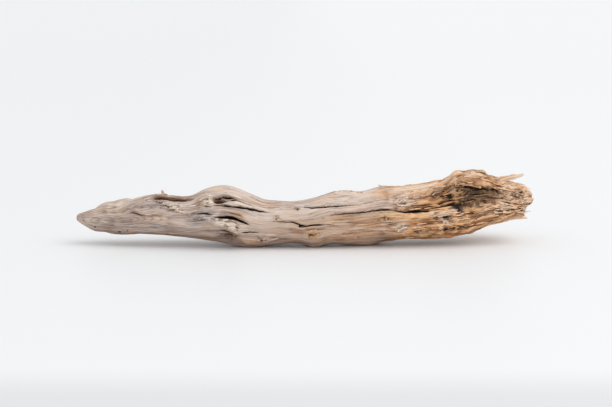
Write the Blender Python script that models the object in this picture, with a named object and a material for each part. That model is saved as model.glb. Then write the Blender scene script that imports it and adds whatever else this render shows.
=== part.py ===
"""A piece of driftwood lying on its belly: a weathered branch, worn to a blade at one end and
broken into rotten fibres at the other.

+X runs along the log to the broken end, -Y is its front and +Z is up. It is one solid. The log is a
loft of unlike sections, and every mark on it is placed by two numbers: x along the log in millimetres,
and the turn round it in degrees, where 0 is the front, 90 the top, 180 the back and -90 the belly.
"""

import math
import random

import bmesh
import bpy
import numpy as np
from mathutils import Matrix, Vector

# Driving dimensions, in millimetres
MM = 0.001
TIP_X = -190.4
BREAK_X = 186.0
BREAK_STARTS_X = 150.0
MIDDLE_OF_BOX_X = 0.27
MIDDLE_OF_BOX_Y = 9.43
SINK = 0.9

# Mesh of the loft, before it is thinned, and the block that cuts its resting spots
RING_STEP = 1.7
ROUND_COUNT = 150
CAP_RINGS = 12
KEPT_SHARE = 0.152
GROUND_SIZE = (500, 200, 40)

# Sections of the log: x, height of the belly, height of the top, middle in depth, half depth
SECTIONS = (
    (-190.4, 22.4, 24.0, 6.0, 0.8),
    (-188.0, 19.2, 27.0, 5.8, 3.6),
    (-184.6, 16.4, 29.2, 5.5, 6.2),
    (-177.0, 12.9, 31.8, 5.0, 9.5),
    (-168.0, 11.9, 33.8, 4.6, 12.0),
    (-156.0, 10.6, 36.0, 4.0, 14.5),
    (-141.0, 10.2, 38.8, 3.0, 17.0),
    (-126.0, 9.9, 41.4, 2.0, 18.5),
    (-108.0, 8.6, 41.2, 1.5, 20.0),
    (-95.6, 7.4, 42.0, 1.0, 21.0),
    (-84.0, 6.0, 47.4, 0.0, 23.0),
    (-75.0, 4.7, 50.4, 0.0, 24.5),
    (-68.0, 3.4, 51.2, 0.0, 25.0),
    (-59.0, 1.4, 49.8, -0.5, 25.0),
    (-50.0, 0.0, 46.4, -0.8, 24.0),
    (-41.6, 0.0, 42.8, -1.0, 23.0),
    (-35.8, 0.8, 40.4, -1.0, 22.5),
    (-21.6, 2.0, 38.8, -0.5, 21.5),
    (-3.3, 2.2, 39.0, 0.0, 21.5),
    (7.5, 0.2, 41.4, 0.5, 22.0),
    (20.0, 2.0, 44.6, 1.5, 22.5),
    (31.0, 2.0, 46.4, 2.5, 23.0),
    (47.0, 3.0, 45.6, 4.0, 23.0),
    (62.0, 3.9, 48.8, 5.5, 24.0),
    (81.0, 4.4, 48.8, 8.0, 24.0),
    (96.5, 4.8, 50.8, 10.0, 24.5),
    (111.0, 4.8, 53.2, 12.5, 25.0),
    (122.0, 5.9, 55.8, 14.0, 26.0),
    (134.0, 8.4, 57.0, 16.0, 26.0),
    (144.0, 11.6, 57.0, 17.5, 25.5),
    (156.0, 14.8, 56.2, 19.5, 24.0),
    (163.0, 16.4, 54.2, 20.5, 22.8),
    (171.0, 17.8, 51.6, 22.0, 21.4),
    (182.0, 20.0, 49.6, 23.0, 19.6),
    (187.0, 21.2, 48.0, 23.6, 18.4),
    (192.0, 22.8, 45.6, 24.4, 17.0),
)

# Where the broken end stops, by turn
BREAK_EDGE = (
    (-180, 172), (-135, 175), (-90, 178), (-45, 182), (-25, 183), (-8, 185), (5, 188), (20, 190),
    (38, 189.5), (54, 188), (68, 186), (82, 182), (95, 178), (125, 173), (155, 177), (180, 172),
)

# Broad ridges (+) and hollows (-): path of (x, turn), half width, height
FOLDS = (
    (((-189, 60), (-175, 64), (-160, 47), (-152, 41), (-144, 28), (-132, 12)), 2.6, 2.2),
    (((-180, 90), (-171, 82), (-159, 66), (-146, 56), (-132, 42), (-118, 32)), 3.4, -2.8),
    (((-171.5, 102), (-169, 101), (-160, 96), (-146, 92), (-128, 88)), 4.2, 2.6),
    (((-178, 10), (-160, 4), (-140, -4)), 9.0, -1.4),
    (((-124, 80), (-113, 78), (-102, 72)), 4.0, 1.4),
    (((-72, 34), (-58, 36), (-45, 39), (-33, 41)), 2.4, 2.4),
    (((-79, 35), (-68, 37), (-58, 41)), 2.6, -2.2),
    (((-76, 53), (-62, 53), (-48, 53)), 2.8, 1.6),
    (((-74, 11), (-59, 15), (-45, 10)), 2.6, 2.6),
    (((-78, 17), (-60, 22), (-44, 20)), 3.0, -2.0),
    (((-76, -7), (-63, -9), (-49, -14)), 4.0, 1.8),
    (((-72, -44), (-62, -50), (-52, -58)), 4.5, -3.0),
    (((-10, -14), (2, -13), (16, -18)), 2.0, 1.2),
    (((-30, 66), (-5, 66), (25, 56), (52, 58)), 5.0, 1.4),
    (((10, 74), (28, 80), (42, 84)), 4.0, 1.4),
    (((58, 76), (67, 58), (75, 42)), 5.0, -2.2),
    (((-20, -28), (10, -34), (60, -26), (100, -22)), 7.0, 1.2),
    (((90, 10), (111, 4), (137, -12), (160, -16)), 4.5, 1.8),
    (((103, -16), (121, -24), (142, -35)), 3.5, 1.2),
    (((94, 34), (104, 52), (115, 62)), 3.0, 1.8),
    (((119, 62), (132, 57), (139, 56), (145, 51), (151, 46), (158, 44)), 4.2, 3.0),
    (((104, 33), (112, 34), (119, 32)), 3.4, -3.2),
    (((130, 24), (140, 24), (152, 18)), 1.8, 2.2),
    (((132, 8), (146, 6), (158, 2)), 1.8, 1.8),
    (((-150, 150), (-90, 158), (-20, 150), (60, 160)), 8.0, -2.4),
    (((-120, 196), (-60, 204), (20, 196), (100, 206), (150, 200)), 7.0, 2.2),
    (((-60, 120), (-10, 118), (50, 126), (120, 122)), 6.0, -1.8),
    (((20, 176), (90, 172), (160, 178)), 6.0, -2.0),
    (((-170, 232), (-110, 226), (-60, 232)), 6.0, -1.5),
)

# Edges of torn layers: path of (x, turn), how far the layer fades and on which side, height of the edge
STEPS = (
    (((-132, 66), (-121, 58), (-115, 53), (-111, 43), (-105, 35), (-99, 23), (-90, 16)), 7.0, 1.5),
    (((-38, 50), (-13, 51), (-1, 50), (20, 39), (37, 36), (49, 41), (64, 44)), -8.0, 1.4),
    (((84, -3), (111, -6), (121, -13), (134, -17), (150, -20)), 6.0, 1.3),
    (((60, -40), (94, -36), (111, -32), (124, -38), (145, -46), (170, -48)), 7.0, 1.6),
    (((-70, -16), (-58, -24), (-46, -22)), 5.0, 1.2),
    (((-150, -34), (-120, -40), (-84, -36)), 6.0, 0.9),
    (((-150, 128), (-60, 134), (0, 128), (90, 134), (160, 130)), -8.0, 1.6),
    (((-60, 186), (20, 180), (80, 186), (150, 180)), 9.0, 1.8),
    (((-140, 212), (-40, 206), (60, 214)), -7.0, 1.3),
)

# Cracks: path of (x, turn), half width, depth
CRACKS = (
    (((-125, 67), (-117, 62), (-108, 64), (-93, 64)), 1.8, 3.6),
    (((-146, 18), (-141, 16), (-134, 6)), 1.3, 2.6),
    (((-79, 24), (-67, 25), (-55, 28), (-42, 33), (-26, 36)), 1.5, 5.5),
    (((-77, 43), (-65, 45), (-57, 45), (-48, 46), (-39, 45)), 1.6, 4.0),
    (((-88, 71), (-72, 60), (-54, 58)), 1.1, 1.4),
    (((-76, -1), (-67, 3), (-61, 7), (-55, 5), (-47, 2)), 2.5, 10.0),
    (((-86, -32), (-75, -30), (-68, -27), (-62, -28), (-52, -29)), 1.1, 2.6),
    (((-98, 22), (-86, 9), (-75, 4)), 1.1, 2.2),
    (((-53, -25), (-35, -17)), 1.0, 1.8),
    (((-39, 51), (-13, 52), (-1, 51), (20, 40), (37, 37), (49, 42), (64, 45)), 1.5, 3.4),
    (((-28, 13), (-15, 9), (-7, 2), (-3, 0), (7, 3), (16, -3), (28, -9)), 1.3, 5.0),
    (((28, 13), (45, 19), (55, 18), (66, 16), (82, 16)), 1.3, 4.6),
    (((71, 13), (86, 10), (99, 8)), 1.6, 5.0),
    (((39, -3), (52, -6), (64, -8)), 1.0, 1.8),
    (((-31, -31), (-17, -38), (-5, -43)), 1.0, 1.6),
    (((16, 60), (34, 56), (46, 58)), 1.0, 1.8),
    (((88, -38), (98, -36)), 1.6, 3.8),
    (((89, 17), (99, 16), (106, 14)), 1.8, 4.0),
    (((100, -11), (111, -8), (121, -15), (134, -19)), 1.4, 4.0),
    (((128, -23), (149, -34), (159, -29), (170, -27), (184, -26)), 1.6, 5.0),
    (((93, -32), (111, -28), (124, -34), (145, -42), (166, -44)), 1.7, 3.4),
    (((-160, 112), (-120, 118), (-70, 112), (-20, 108)), 1.4, 3.6),
    (((-40, 140), (10, 146), (70, 140), (110, 144)), 1.7, 5.0),
    (((60, 100), (100, 106), (150, 98)), 1.5, 4.2),
    (((-130, 178), (-80, 184), (-30, 178)), 1.4, 3.2),
    (((30, 188), (80, 194), (150, 186)), 1.7, 4.6),
    (((-90, 214), (-30, 220), (20, 214)), 1.3, 2.8),
    (((70, 218), (120, 226), (165, 220)), 1.5, 3.2),
)

# Knots: x, turn, radius, height of the swelling, radius and depth of the hole in it
KNOTS = (
    (-84, 36, 7.0, 3.4, 2.6, 3.0),
    (-34, -37, 4.0, 1.2, 1.4, 3.0),
    (2, -25, 6.0, 1.6, 1.7, 3.6),
    (-7, 43, 3.2, 0.9, 1.0, 1.4),
    (-3, -1, 2.4, 0.2, 1.7, 4.5),
    (78, -26, 4.5, 1.4, 0.0, 0.0),
    (125, -47, 3.0, 0.3, 1.7, 3.4),
    (122, 38, 6.5, 4.6, 1.5, 2.4),
    (141, 15, 4.0, 0.0, 2.4, 3.0),
    (8, -74, 8.0, 2.2, 0.0, 0.0),
    (50, -112, 16.0, 5.8, 0.0, 0.0),
    (-100, 150, 8.0, 2.6, 2.4, 3.2),
    (30, 166, 10.0, 3.2, 2.6, 4.0),
    (98, 240, 7.0, 2.0, 1.8, 2.6),
)

# The rotten pocket under the shelf at the broken end: its lower and upper edge by x, and its depth by x
POCKET_LOW = ((92, 19), (111, 12), (128, 0), (153, -5), (170, 0))
POCKET_HIGH = (
    (92, 24), (103, 43), (116, 52), (124, 55), (132, 51), (139, 50), (145, 44), (151, 38), (157, 37), (170, 18),
)
POCKET_DEPTH = ((92, 0), (100, 4.0), (112, 6.0), (122, 8.5), (132, 13.0), (146, 13.0), (156, 8.0), (170, 0))

# The shelf over it, which stands proud of the log: height by x
SHELF_HEIGHT = (
    (115, 0), (118.5, 1.2), (122.5, 6.0), (134, 5.6), (144, 6.2), (149, 5.6), (154, 1.2), (160, 0),
)
SHELF_TURN = 78
SHELF_HALF_TURN = 36

# Weathering: height of the relief, length of its bumps along the grain, and how many there are round the log
WANDER = (0.16, 70, 3)
FLUTES = (1.3, 75, 6)
FURROWS = (0.75, 34, 17)
FIBRES = (0.4, 18, 36)
CRUMBS = (1, 6, 28)

# Torn fibres at the rim of the broken end: how far they reach and how many there are round the log
TORN_RIM = ((2.0, 1, 24), (1.4, 1, 52))

# Splinters at the broken end: root (x, y, z), tip (x, y, z), radius at the root, flatness
SPLINTERS = (
    ((155.0, 13.0, 49.6), (180.6, 16.0, 57.0), 3.2, 0.8),
    ((168.0, 19.0, 45.6), (186.0, 21.0, 48.4), 2.4, 0.7),
    ((170.0, 8.6, 21.4), (184.0, 8.4, 21.6), 2.2, 0.7),
    ((162.0, 26.0, 50.0), (177.0, 30.0, 52.0), 2.4, 0.7),
    ((166.0, 36.0, 36.0), (185.0, 39.0, 38.0), 2.8, 0.7),
    ((170.0, 33.0, 26.0), (183.0, 35.0, 25.0), 2.4, 0.7),
)
SPLINTER_SIDES = 7
SPLINTER_RINGS = 5

# The worn stub of a twig on the blade's back: root, tip, radius at the root
TWIG = ((-118.6, 1.5, 37.5), (-119.4, 0.6, 44.6), 1.5, 1.0)


def smooth_curve(points, at):
    """A smooth curve through (place, value) points, read at each place of an array."""
    place, value = np.array(points, float).T
    slope = np.gradient(value, place)
    at = np.clip(at, place[0], place[-1])
    i = np.clip(np.searchsorted(place, at) - 1, 0, len(place) - 2)
    span = place[i + 1] - place[i]
    t = (at - place[i]) / span
    return (
        (2 * t**3 - 3 * t**2 + 1) * value[i]
        + (t**3 - 2 * t**2 + t) * span * slope[i]
        + (3 * t**2 - 2 * t**3) * value[i + 1]
        + (t**3 - t**2) * span * slope[i + 1]
    )


def ease(low, high, value):
    """0 below low, 1 above high, and smooth between."""
    t = np.clip((value - low) / (high - low), 0, 1)
    return t * t * (3 - 2 * t)


def lattice_value(ix, iy, iz, seed):
    """A repeatable number from -1 to 1 for each whole-number lattice point."""
    n = (ix * 374761393 + iy * 668265263 + iz * 1442695041 + seed * 97531) & 0xFFFFFFFF
    n = ((n ^ (n >> 13)) * 1274126177) & 0xFFFFFFFF
    return ((n ^ (n >> 16)) & 0xFFFF) / 32767.5 - 1


def noise(x, y, z, seed):
    """Smooth noise from about -1 to 1, with one bump to a unit of length."""
    corner = [np.floor(v).astype(np.int64) for v in (x, y, z)]
    fx, fy, fz = (v - c for v, c in zip((x, y, z), corner))
    fx, fy, fz = (f * f * f * (f * (6 * f - 15) + 10) for f in (fx, fy, fz))
    total = 0
    for dx in (0, 1):
        for dy in (0, 1):
            for dz in (0, 1):
                weight = (fx if dx else 1 - fx) * (fy if dy else 1 - fy) * (fz if dz else 1 - fz)
                total = total + weight * lattice_value(
                    corner[0] + dx, corner[1] + dy, corner[2] + dz, seed
                )
    return total


def grain_noise(x, turn, length, per_turn, seed):
    """Noise drawn out along the grain: one bump to a length of x, and so many round the log."""
    radius = per_turn / (2 * math.pi)
    return noise(x / length, np.cos(turn) * radius, np.sin(turn) * radius, seed)


def section(x):
    """Middle height, half height, middle depth and half depth of the log at x."""
    table = np.array(SECTIONS)
    low, high, middle_y, half_y = (
        smooth_curve(np.column_stack((table[:, 0], table[:, k])), x) for k in (1, 2, 3, 4)
    )
    low = low - SINK
    high = high - SINK
    return (low + high) / 2, (high - low) / 2, middle_y, half_y


def turned_from(turn, path_turn):
    """How far a turn is from another, the short way round."""
    return (turn - path_turn + math.pi) % (2 * math.pi) - math.pi


def across_path(path, x, turn, radius):
    """Distance across a path round the log, and a fade that falls to 0 at the path's two ends."""
    degrees = smooth_curve(path, x)
    across = turned_from(turn, np.radians(degrees)) * radius
    share = np.clip((x - path[0][0]) / (path[-1][0] - path[0][0]), 0, 1)
    return across, np.sqrt(np.clip(np.sin(math.pi * share), 0, 1))


def folds(x, turn, radius):
    total = np.zeros_like(x)
    for path, width, height in FOLDS:
        across, fade = across_path(path, x, turn, radius)
        total += height * fade * np.exp(-((across / width) ** 2))
    return total


def steps(x, turn, radius):
    total = np.zeros_like(x)
    for path, width, height in STEPS:
        across, fade = across_path(path, x, turn, radius)
        inside = across * math.copysign(1, width)
        layer = np.exp(-((inside / width) ** 2)) * ease(-0.9, 0.3, inside)
        total += height * fade * layer
    return total


def cracks(x, turn, radius):
    total = np.zeros_like(x)
    for path, width, depth in CRACKS:
        across, fade = across_path(path, x, turn, radius)
        half_width = np.maximum(width * fade, 0.05)
        total = np.maximum(total, depth * fade * np.clip(1 - np.abs(across) / half_width, 0, 1))
    return -total


def knots(x, turn, radius):
    total = np.zeros_like(x)
    for knot_x, knot_turn, size, height, hole, depth in KNOTS:
        around = turned_from(turn, math.radians(knot_turn)) * radius
        away = np.hypot(x - knot_x, around)
        total += height * np.exp(-((away / size) ** 2))
        if hole:
            total -= depth * ease(1.3, 0.4, away / hole)
    return total


def shelf_and_pocket(x, turn):
    degrees = np.degrees(turned_from(turn, 0))
    low, high, depth = (smooth_curve(p, x) for p in (POCKET_LOW, POCKET_HIGH, POCKET_DEPTH))
    high = high + 3.5 * noise(x / 4, 0 * x, 0 * x, 51)
    lumps = noise(x / 5, 5 * np.cos(turn), 5 * np.sin(turn), 52)
    depth = depth * (1 + 0.35 * lumps)
    inside = ease(low - 4, low + 12, degrees) * ease(high + 1.5, high - 3.5, degrees)
    height = np.where((x > 115) & (x < 160), smooth_curve(SHELF_HEIGHT, x), 0)
    shelf = height * np.exp(-(((degrees - SHELF_TURN) / SHELF_HALF_TURN) ** 2))
    return shelf - np.clip(depth, 0, None) * inside


def relief(kind, x, turn, seed):
    height, length, per_turn = kind
    return height * grain_noise(x, turn, length, per_turn, seed)


def weathering(x, turn):
    """Flutes, furrows and fibres that wander round the log, rougher and crumbly towards the broken end."""
    turn = turn + relief(WANDER, x, turn, 11)
    rough = 1 + 0.9 * ease(80, 150, x)
    furrows = relief(FURROWS, x, turn, 22) + relief(FIBRES, x, turn, 23)
    crumb_height = 0.8 * ease(95, 140, x) + 0.9 * ease(150, 180, x)
    return relief(FLUTES, x, turn, 21) + rough * furrows + relief(CRUMBS, x, turn, 24) * crumb_height


def log_surface(x, turn):
    """The y and z of the log's surface, and of the middle of its section, at x and turn."""
    middle_z, half_z, middle_y, half_y = section(x)
    radius = (half_z + half_y) / 2
    slenderness = ease(0, 14, radius)
    out_y, out_z = -half_y * np.cos(turn), half_z * np.sin(turn)
    reach = np.hypot(out_y, out_z)
    swelling = (
        folds(x, turn, radius) + steps(x, turn, radius) + cracks(x, turn, radius)
        + knots(x, turn, radius) + shelf_and_pocket(x, turn) + weathering(x, turn)
    )
    scale = 1 + slenderness * swelling / np.maximum(reach, 1)
    return middle_y + scale * out_y, middle_z + scale * out_z, middle_y, middle_z


def break_edge(turn):
    """The x at which the fibres are broken off, by turn, and how far the torn fibres reach past it."""
    degrees = np.degrees(turned_from(turn, 0))
    ragged = sum(relief(kind, 0 * turn, turn, 31 + i) for i, kind in enumerate(TORN_RIM))
    return smooth_curve(BREAK_EDGE, degrees), ragged


def log_rings():
    """Rings of points from the blade's tip to the middle of the broken end, in millimetres."""
    turn = np.linspace(0, 2 * math.pi, ROUND_COUNT, endpoint=False)
    near_tip = TIP_X + np.array((0.35, 1.0, 1.9))
    along = np.arange(TIP_X + 3.0, BREAK_X, RING_STEP)
    x = np.tile(np.concatenate((near_tip, along))[:, None], (1, ROUND_COUNT))
    turns = np.tile(turn, (len(x), 1))
    share = np.clip((x - BREAK_STARTS_X) / (x[-1] - BREAK_STARTS_X), 0, 1)
    edge, ragged = break_edge(turns)
    stretched = BREAK_STARTS_X + share * (edge - BREAK_STARTS_X)
    x = np.where(share > 0, stretched + ragged * share**4, x)
    y, z, _, _ = log_surface(x, turns)
    sides = np.stack((x, y, z), axis=-1)
    return np.concatenate((sides, broken_face(sides[-1], edge[-1])))


def broken_face(rim, edge):
    """Rings that close the broken end, with the pits and steps of torn fibres."""
    middle = rim.mean(axis=0)
    rings = []
    for k in range(1, CAP_RINGS):
        size = 1 - k / CAP_RINGS
        ring = middle + size * (rim - middle)
        pits = noise(0 * edge, ring[:, 1] / 3.0, ring[:, 2] / 3.0, 41)
        layers = noise(0 * edge, ring[:, 1] / 6.5, ring[:, 2] / 6.5, 42)
        torn = 1.8 * pits + 2.6 * layers - 2.0
        slanted = middle[0] + size * (edge - middle[0])
        ring[:, 0] = slanted + size**8 * (rim[:, 0] - edge) + ease(0, 0.3, 1 - size) * torn
        rings.append(ring)
    return np.array(rings)


def mesh_from_rings(name, rings, first, last):
    """A closed mesh through rings of points, with a point to close each end, in metres."""
    count, around, _ = rings.shape
    points = np.concatenate((rings.reshape(-1, 3), (first, last))) * MM
    first_point, last_point = count * around, count * around + 1
    faces = []
    for j in range(around):
        k = (j + 1) % around
        faces.append((first_point, k, j))
        faces.append(((count - 1) * around + j, (count - 1) * around + k, last_point))
        faces += [
            (i * around + j, i * around + k, (i + 1) * around + k, (i + 1) * around + j)
            for i in range(count - 1)
        ]
    mesh = bpy.data.meshes.new(name)
    mesh.from_pydata(points.tolist(), [], faces)
    outward(mesh)
    return mesh


def outward(mesh):
    shape = bmesh.new()
    shape.from_mesh(mesh)
    bmesh.ops.recalc_face_normals(shape, faces=shape.faces)
    shape.to_mesh(mesh)
    shape.free()


def add_object(name, mesh, collection):
    made = bpy.data.objects.new(name, mesh)
    collection.objects.link(made)
    return made


def add_spike(name, root, tip, radius, flatness, collection):
    """A splinter: a cone from root to tip, flattened, bowed and roughened a little."""
    root, tip = (Vector((x - MIDDLE_OF_BOX_X, y - MIDDLE_OF_BOX_Y, z)) * MM for x, y, z in (root, tip))
    length = (tip - root).length
    shape = bmesh.new()
    bmesh.ops.create_cone(
        shape, cap_ends=True, segments=SPLINTER_SIDES, radius1=radius * MM,
        radius2=0.26 * radius * MM, depth=length,
    )
    sides = [e for e in shape.edges if abs(e.verts[0].co.z - e.verts[1].co.z) > length / 2]
    bmesh.ops.subdivide_edges(shape, edges=sides, cuts=SPLINTER_RINGS)
    draw = random.Random(name)
    for v in shape.verts:
        share = v.co.z / length + 0.5
        v.co.x *= flatness * draw.uniform(0.85, 1.15)
        v.co.y *= draw.uniform(0.85, 1.15)
        v.co.x += 0.03 * length * math.sin(math.pi * share)
    turn = (tip - root).to_track_quat("Z", "X").to_matrix().to_4x4()
    shape.transform(Matrix.Translation((root + tip) / 2) @ turn)
    mesh = bpy.data.meshes.new(name)
    shape.to_mesh(mesh)
    shape.free()
    return add_object(name, mesh, collection)


def add_ground(collection):
    """The block under the log that cuts the flat spots on which it rests."""
    bpy.ops.mesh.primitive_cube_add(size=1, location=(0, 0, -GROUND_SIZE[2] / 2 * MM))
    block = bpy.context.object
    block.name = "ground_cut"
    block.scale = Vector(GROUND_SIZE) * MM
    for owner in list(block.users_collection):
        owner.objects.unlink(block)
    collection.objects.link(block)
    return block


def wood_material():
    wood = bpy.data.materials.new("driftwood")
    wood.use_nodes = True
    shader = wood.node_tree.nodes["Principled BSDF"]
    shader.inputs["Base Color"].default_value = (0.42, 0.31, 0.235, 1)
    shader.inputs["Roughness"].default_value = 0.85
    shader.inputs["Metallic"].default_value = 0
    return wood


def new_collection(name):
    made = bpy.data.collections.new(name)
    bpy.context.scene.collection.children.link(made)
    return made


def hide(guide):
    guide.hide_render = True
    guide.display_type = "WIRE"


def main():
    for old in list(bpy.data.objects):
        bpy.data.objects.remove(old)
    part = new_collection("piece_of_driftwood")
    cutters = new_collection("cutters")
    spikes = new_collection("splinters")

    rings = log_rings() - (MIDDLE_OF_BOX_X, MIDDLE_OF_BOX_Y, 0)
    tip = rings[0].mean(axis=0)
    tip[0] = TIP_X - MIDDLE_OF_BOX_X
    log = add_object("driftwood", mesh_from_rings("driftwood", rings, tip, rings[-1].mean(axis=0)), part)
    log.data.materials.append(wood_material())

    for i, (root, end, radius, flatness) in enumerate((*SPLINTERS, TWIG)):
        hide(add_spike(f"spike_{i}", root, end, radius, flatness, spikes))
    ground = add_ground(cutters)
    hide(ground)

    thin = log.modifiers.new("thin", "DECIMATE")
    thin.ratio = KEPT_SHARE
    join = log.modifiers.new("splinters", "BOOLEAN")
    join.operation = "UNION"
    join.operand_type = "COLLECTION"
    join.collection = spikes
    cut = log.modifiers.new("resting_spots", "BOOLEAN")
    cut.operation = "DIFFERENCE"
    cut.object = ground


main()
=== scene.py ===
"""A weathered piece of driftwood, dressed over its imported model.

The log is one tube of fine mesh, rolled from a flat grid. Every mark on it is placed by two numbers: x
along the log in millimetres, and the turn round it in degrees, where 0 is the front, 90 the top, 180
the back and -90 the belly. Splinters, flakes and crumbs of rot are pieces of their own, sunk into it.
+X runs to the broken end, -Y is the front and +Z is up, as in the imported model.
"""

import math
import random

import bpy
import numpy as np
from bpy.props import FloatProperty, FloatVectorProperty, IntProperty, PointerProperty
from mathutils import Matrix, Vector


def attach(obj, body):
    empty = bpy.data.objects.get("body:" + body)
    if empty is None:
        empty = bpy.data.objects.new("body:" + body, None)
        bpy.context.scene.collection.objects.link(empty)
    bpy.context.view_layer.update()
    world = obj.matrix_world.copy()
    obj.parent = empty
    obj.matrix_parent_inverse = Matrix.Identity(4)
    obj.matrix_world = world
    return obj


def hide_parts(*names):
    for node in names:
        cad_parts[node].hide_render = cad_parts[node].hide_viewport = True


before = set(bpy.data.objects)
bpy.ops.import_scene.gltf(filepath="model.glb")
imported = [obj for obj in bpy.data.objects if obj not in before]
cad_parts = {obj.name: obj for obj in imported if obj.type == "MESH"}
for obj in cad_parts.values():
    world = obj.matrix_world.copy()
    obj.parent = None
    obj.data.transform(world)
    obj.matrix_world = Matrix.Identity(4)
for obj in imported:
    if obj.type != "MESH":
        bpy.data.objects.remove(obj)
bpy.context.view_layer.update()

bl_info = {
    "name": "Driftwood",
    "version": (1, 0, 0),
    "blender": (4, 5, 0),
    "location": "3D View > Sidebar > Driftwood",
    "description": "Builds a weathered piece of driftwood and the pale table it lies on",
    "category": "Add Mesh",
}

NODE = "driftwood"
WOOD = "weathered_wood"
MM = 0.001

# The log in its own millimetres: its tip, its last ring, and where its rings begin to follow the break
TIP_X = -192
BREAK_X = 186
BREAK_STARTS_X = 150

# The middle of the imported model's box, in the same millimetres
MIDDLE_OF_BOX_X = 0.27
MIDDLE_OF_BOX_Y = 9.43

# How far the sections are let down, so that the worn belly still reaches the table
SINK = 0.9

# Radius of the round on which the grain's pattern is read
GRAIN_RADIUS = 24

# The mesh: distance between its rings by x, rings on the broken face, and the turn that its columns crowd
# round, and how much
RING_SPACING = ((-192, 0.25), (-187, 0.6), (-176, 0.98), (50, 0.99), (88, 0.78), (187, 0.74))
CAP_RINGS = 17
FINE_TURN = 25
FINE_CROWDING = 0.38
MERGE_DISTANCE = 1e-6

# Sections of the log: x, height of the belly, height of the top, middle in depth, half depth
SECTIONS = (
    (-192, 21.8, 24.9, 6, 1.4),
    (-190.6, 20.3, 26.2, 5.9, 2.8),
    (-188.4, 18.9, 27, 5.8, 4.4),
    (-184.6, 16.8, 28.2, 5.5, 6.2),
    (-177, 13.1, 31, 5, 9.5),
    (-168, 11.9, 33.6, 4.6, 12),
    (-156, 10.6, 34.2, 4, 14.5),
    (-141, 10.2, 38.8, 3, 17),
    (-126, 9.9, 41.4, 2, 18.5),
    (-108, 8.6, 41.2, 1.5, 20),
    (-95.6, 7.4, 43, 1, 21),
    (-84, 6, 48.4, 0, 23),
    (-75, 4.7, 50.4, 0, 24.5),
    (-68, 3.4, 51.2, 0, 25),
    (-59, 1.4, 49.8, -0.5, 25),
    (-50, 0, 46.4, -0.8, 24),
    (-41.6, 0, 42.8, -1, 23),
    (-35.8, 0.8, 40.4, -1, 22.5),
    (-21.6, 2, 38.8, -0.5, 21.5),
    (-3.3, 2.2, 39, 0, 21.5),
    (7.5, 0.2, 41.4, 0.5, 22),
    (20, 2, 44.6, 1.5, 22.5),
    (31, 2, 46.4, 2.5, 23),
    (47, 3, 45.6, 4, 23),
    (62, 3.9, 48.8, 5.5, 24),
    (81, 4.4, 48.8, 8, 24),
    (96.5, 4.8, 50.8, 10, 24.5),
    (111, 4.8, 53.2, 12.5, 25),
    (122, 5.9, 55.4, 14, 25.4),
    (134, 8.4, 56.2, 16, 25.2),
    (144, 11.6, 56.2, 17.5, 24.8),
    (156, 14.8, 56.2, 19.5, 24),
    (163, 16.6, 53.6, 20.5, 22.8),
    (171, 18.4, 50.4, 22, 21.4),
    (182, 21.2, 47.8, 23, 19.6),
    (187, 22.4, 46.2, 23.6, 18.4),
    (192, 24, 44.6, 24.4, 17),
)

# Where the broken end stops, by turn
BREAK_EDGE = (
    (-180, 172), (-135, 175), (-90, 176), (-45, 180), (-25, 181.5), (-8, 184.5), (5, 188), (20, 190),
    (38, 190), (54, 189), (68, 187), (82, 182), (95, 178), (125, 173), (155, 177), (180, 172),
)

# Broad ridges (+) and hollows (-): path of (x, turn), half width, height
FOLDS = (
    (((-190, 60), (-175, 64), (-161, 66), (-152, 54), (-146, 36), (-138, 20), (-129, 10)), 2.4, 2.2),
    (((-180, 88), (-171, 84), (-160, 82), (-151, 68), (-143, 50), (-130, 36)), 3, -2.4),
    (((-176, 104), (-170, 100), (-160, 96), (-146, 94)), 4.6, 4.5),
    (((-160, 96), (-141, 92), (-120, 86)), 5, 2),
    (((-166, -82), (-153, -72), (-140, -80)), 5, 1),
    (((-178, 10), (-160, 4), (-140, -4)), 9, -1.4),
    (((-124, 80), (-113, 78), (-102, 72)), 4, 1.4),
    (((-70, 34), (-58, 36), (-45, 39), (-33, 41)), 2.4, 2.8),
    (((-79, 35), (-68, 37), (-58, 41)), 2.6, -2.2),
    (((-76, 53), (-62, 53), (-48, 53)), 2.8, 1.6),
    (((-74, 11), (-59, 15), (-45, 10)), 2.6, 2.3),
    (((-78, 17), (-60, 22), (-44, 20)), 3, -2),
    (((-76, -7), (-63, -9), (-49, -14)), 4, 1.2),
    (((-76, -44), (-62, -48), (-50, -58)), 4.5, -3.8),
    (((-10, -14), (2, -13), (16, -18)), 2, 1.2),
    (((-30, 66), (-5, 66), (25, 56), (52, 58)), 5, 1.4),
    (((10, 74), (28, 80), (42, 84)), 4, 1.4),
    (((58, 76), (67, 58), (75, 42)), 5, -2.2),
    (((-20, -28), (10, -34), (60, -26), (100, -22)), 7, 1.2),
    (((90, 10), (111, 4), (137, -12), (160, -16)), 4.5, 1.8),
    (((103, -16), (121, -24), (142, -35)), 3.5, 1.2),
    (((94, 34), (104, 52), (115, 62)), 3, 1.8),
    (((119, 62), (132, 57), (139, 56), (145, 51), (151, 46), (158, 44)), 4.2, 3),
    (((104, 33), (112, 34), (119, 32)), 3.4, -2.4),
    (((130, 24), (140, 24), (152, 18)), 1.8, 2.2),
    (((132, 8), (146, 6), (158, 2)), 1.8, 1.8),
    (((-150, 150), (-90, 158), (-20, 150), (60, 160)), 8, -2.4),
    (((-120, 196), (-60, 204), (20, 196), (100, 206), (150, 200)), 7, 2.2),
    (((-60, 120), (-10, 118), (50, 126), (120, 122)), 6, -1.8),
    (((20, 176), (90, 172), (160, 178)), 6, -2),
    (((-170, 232), (-110, 226), (-60, 232)), 6, -1.5),
)

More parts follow.
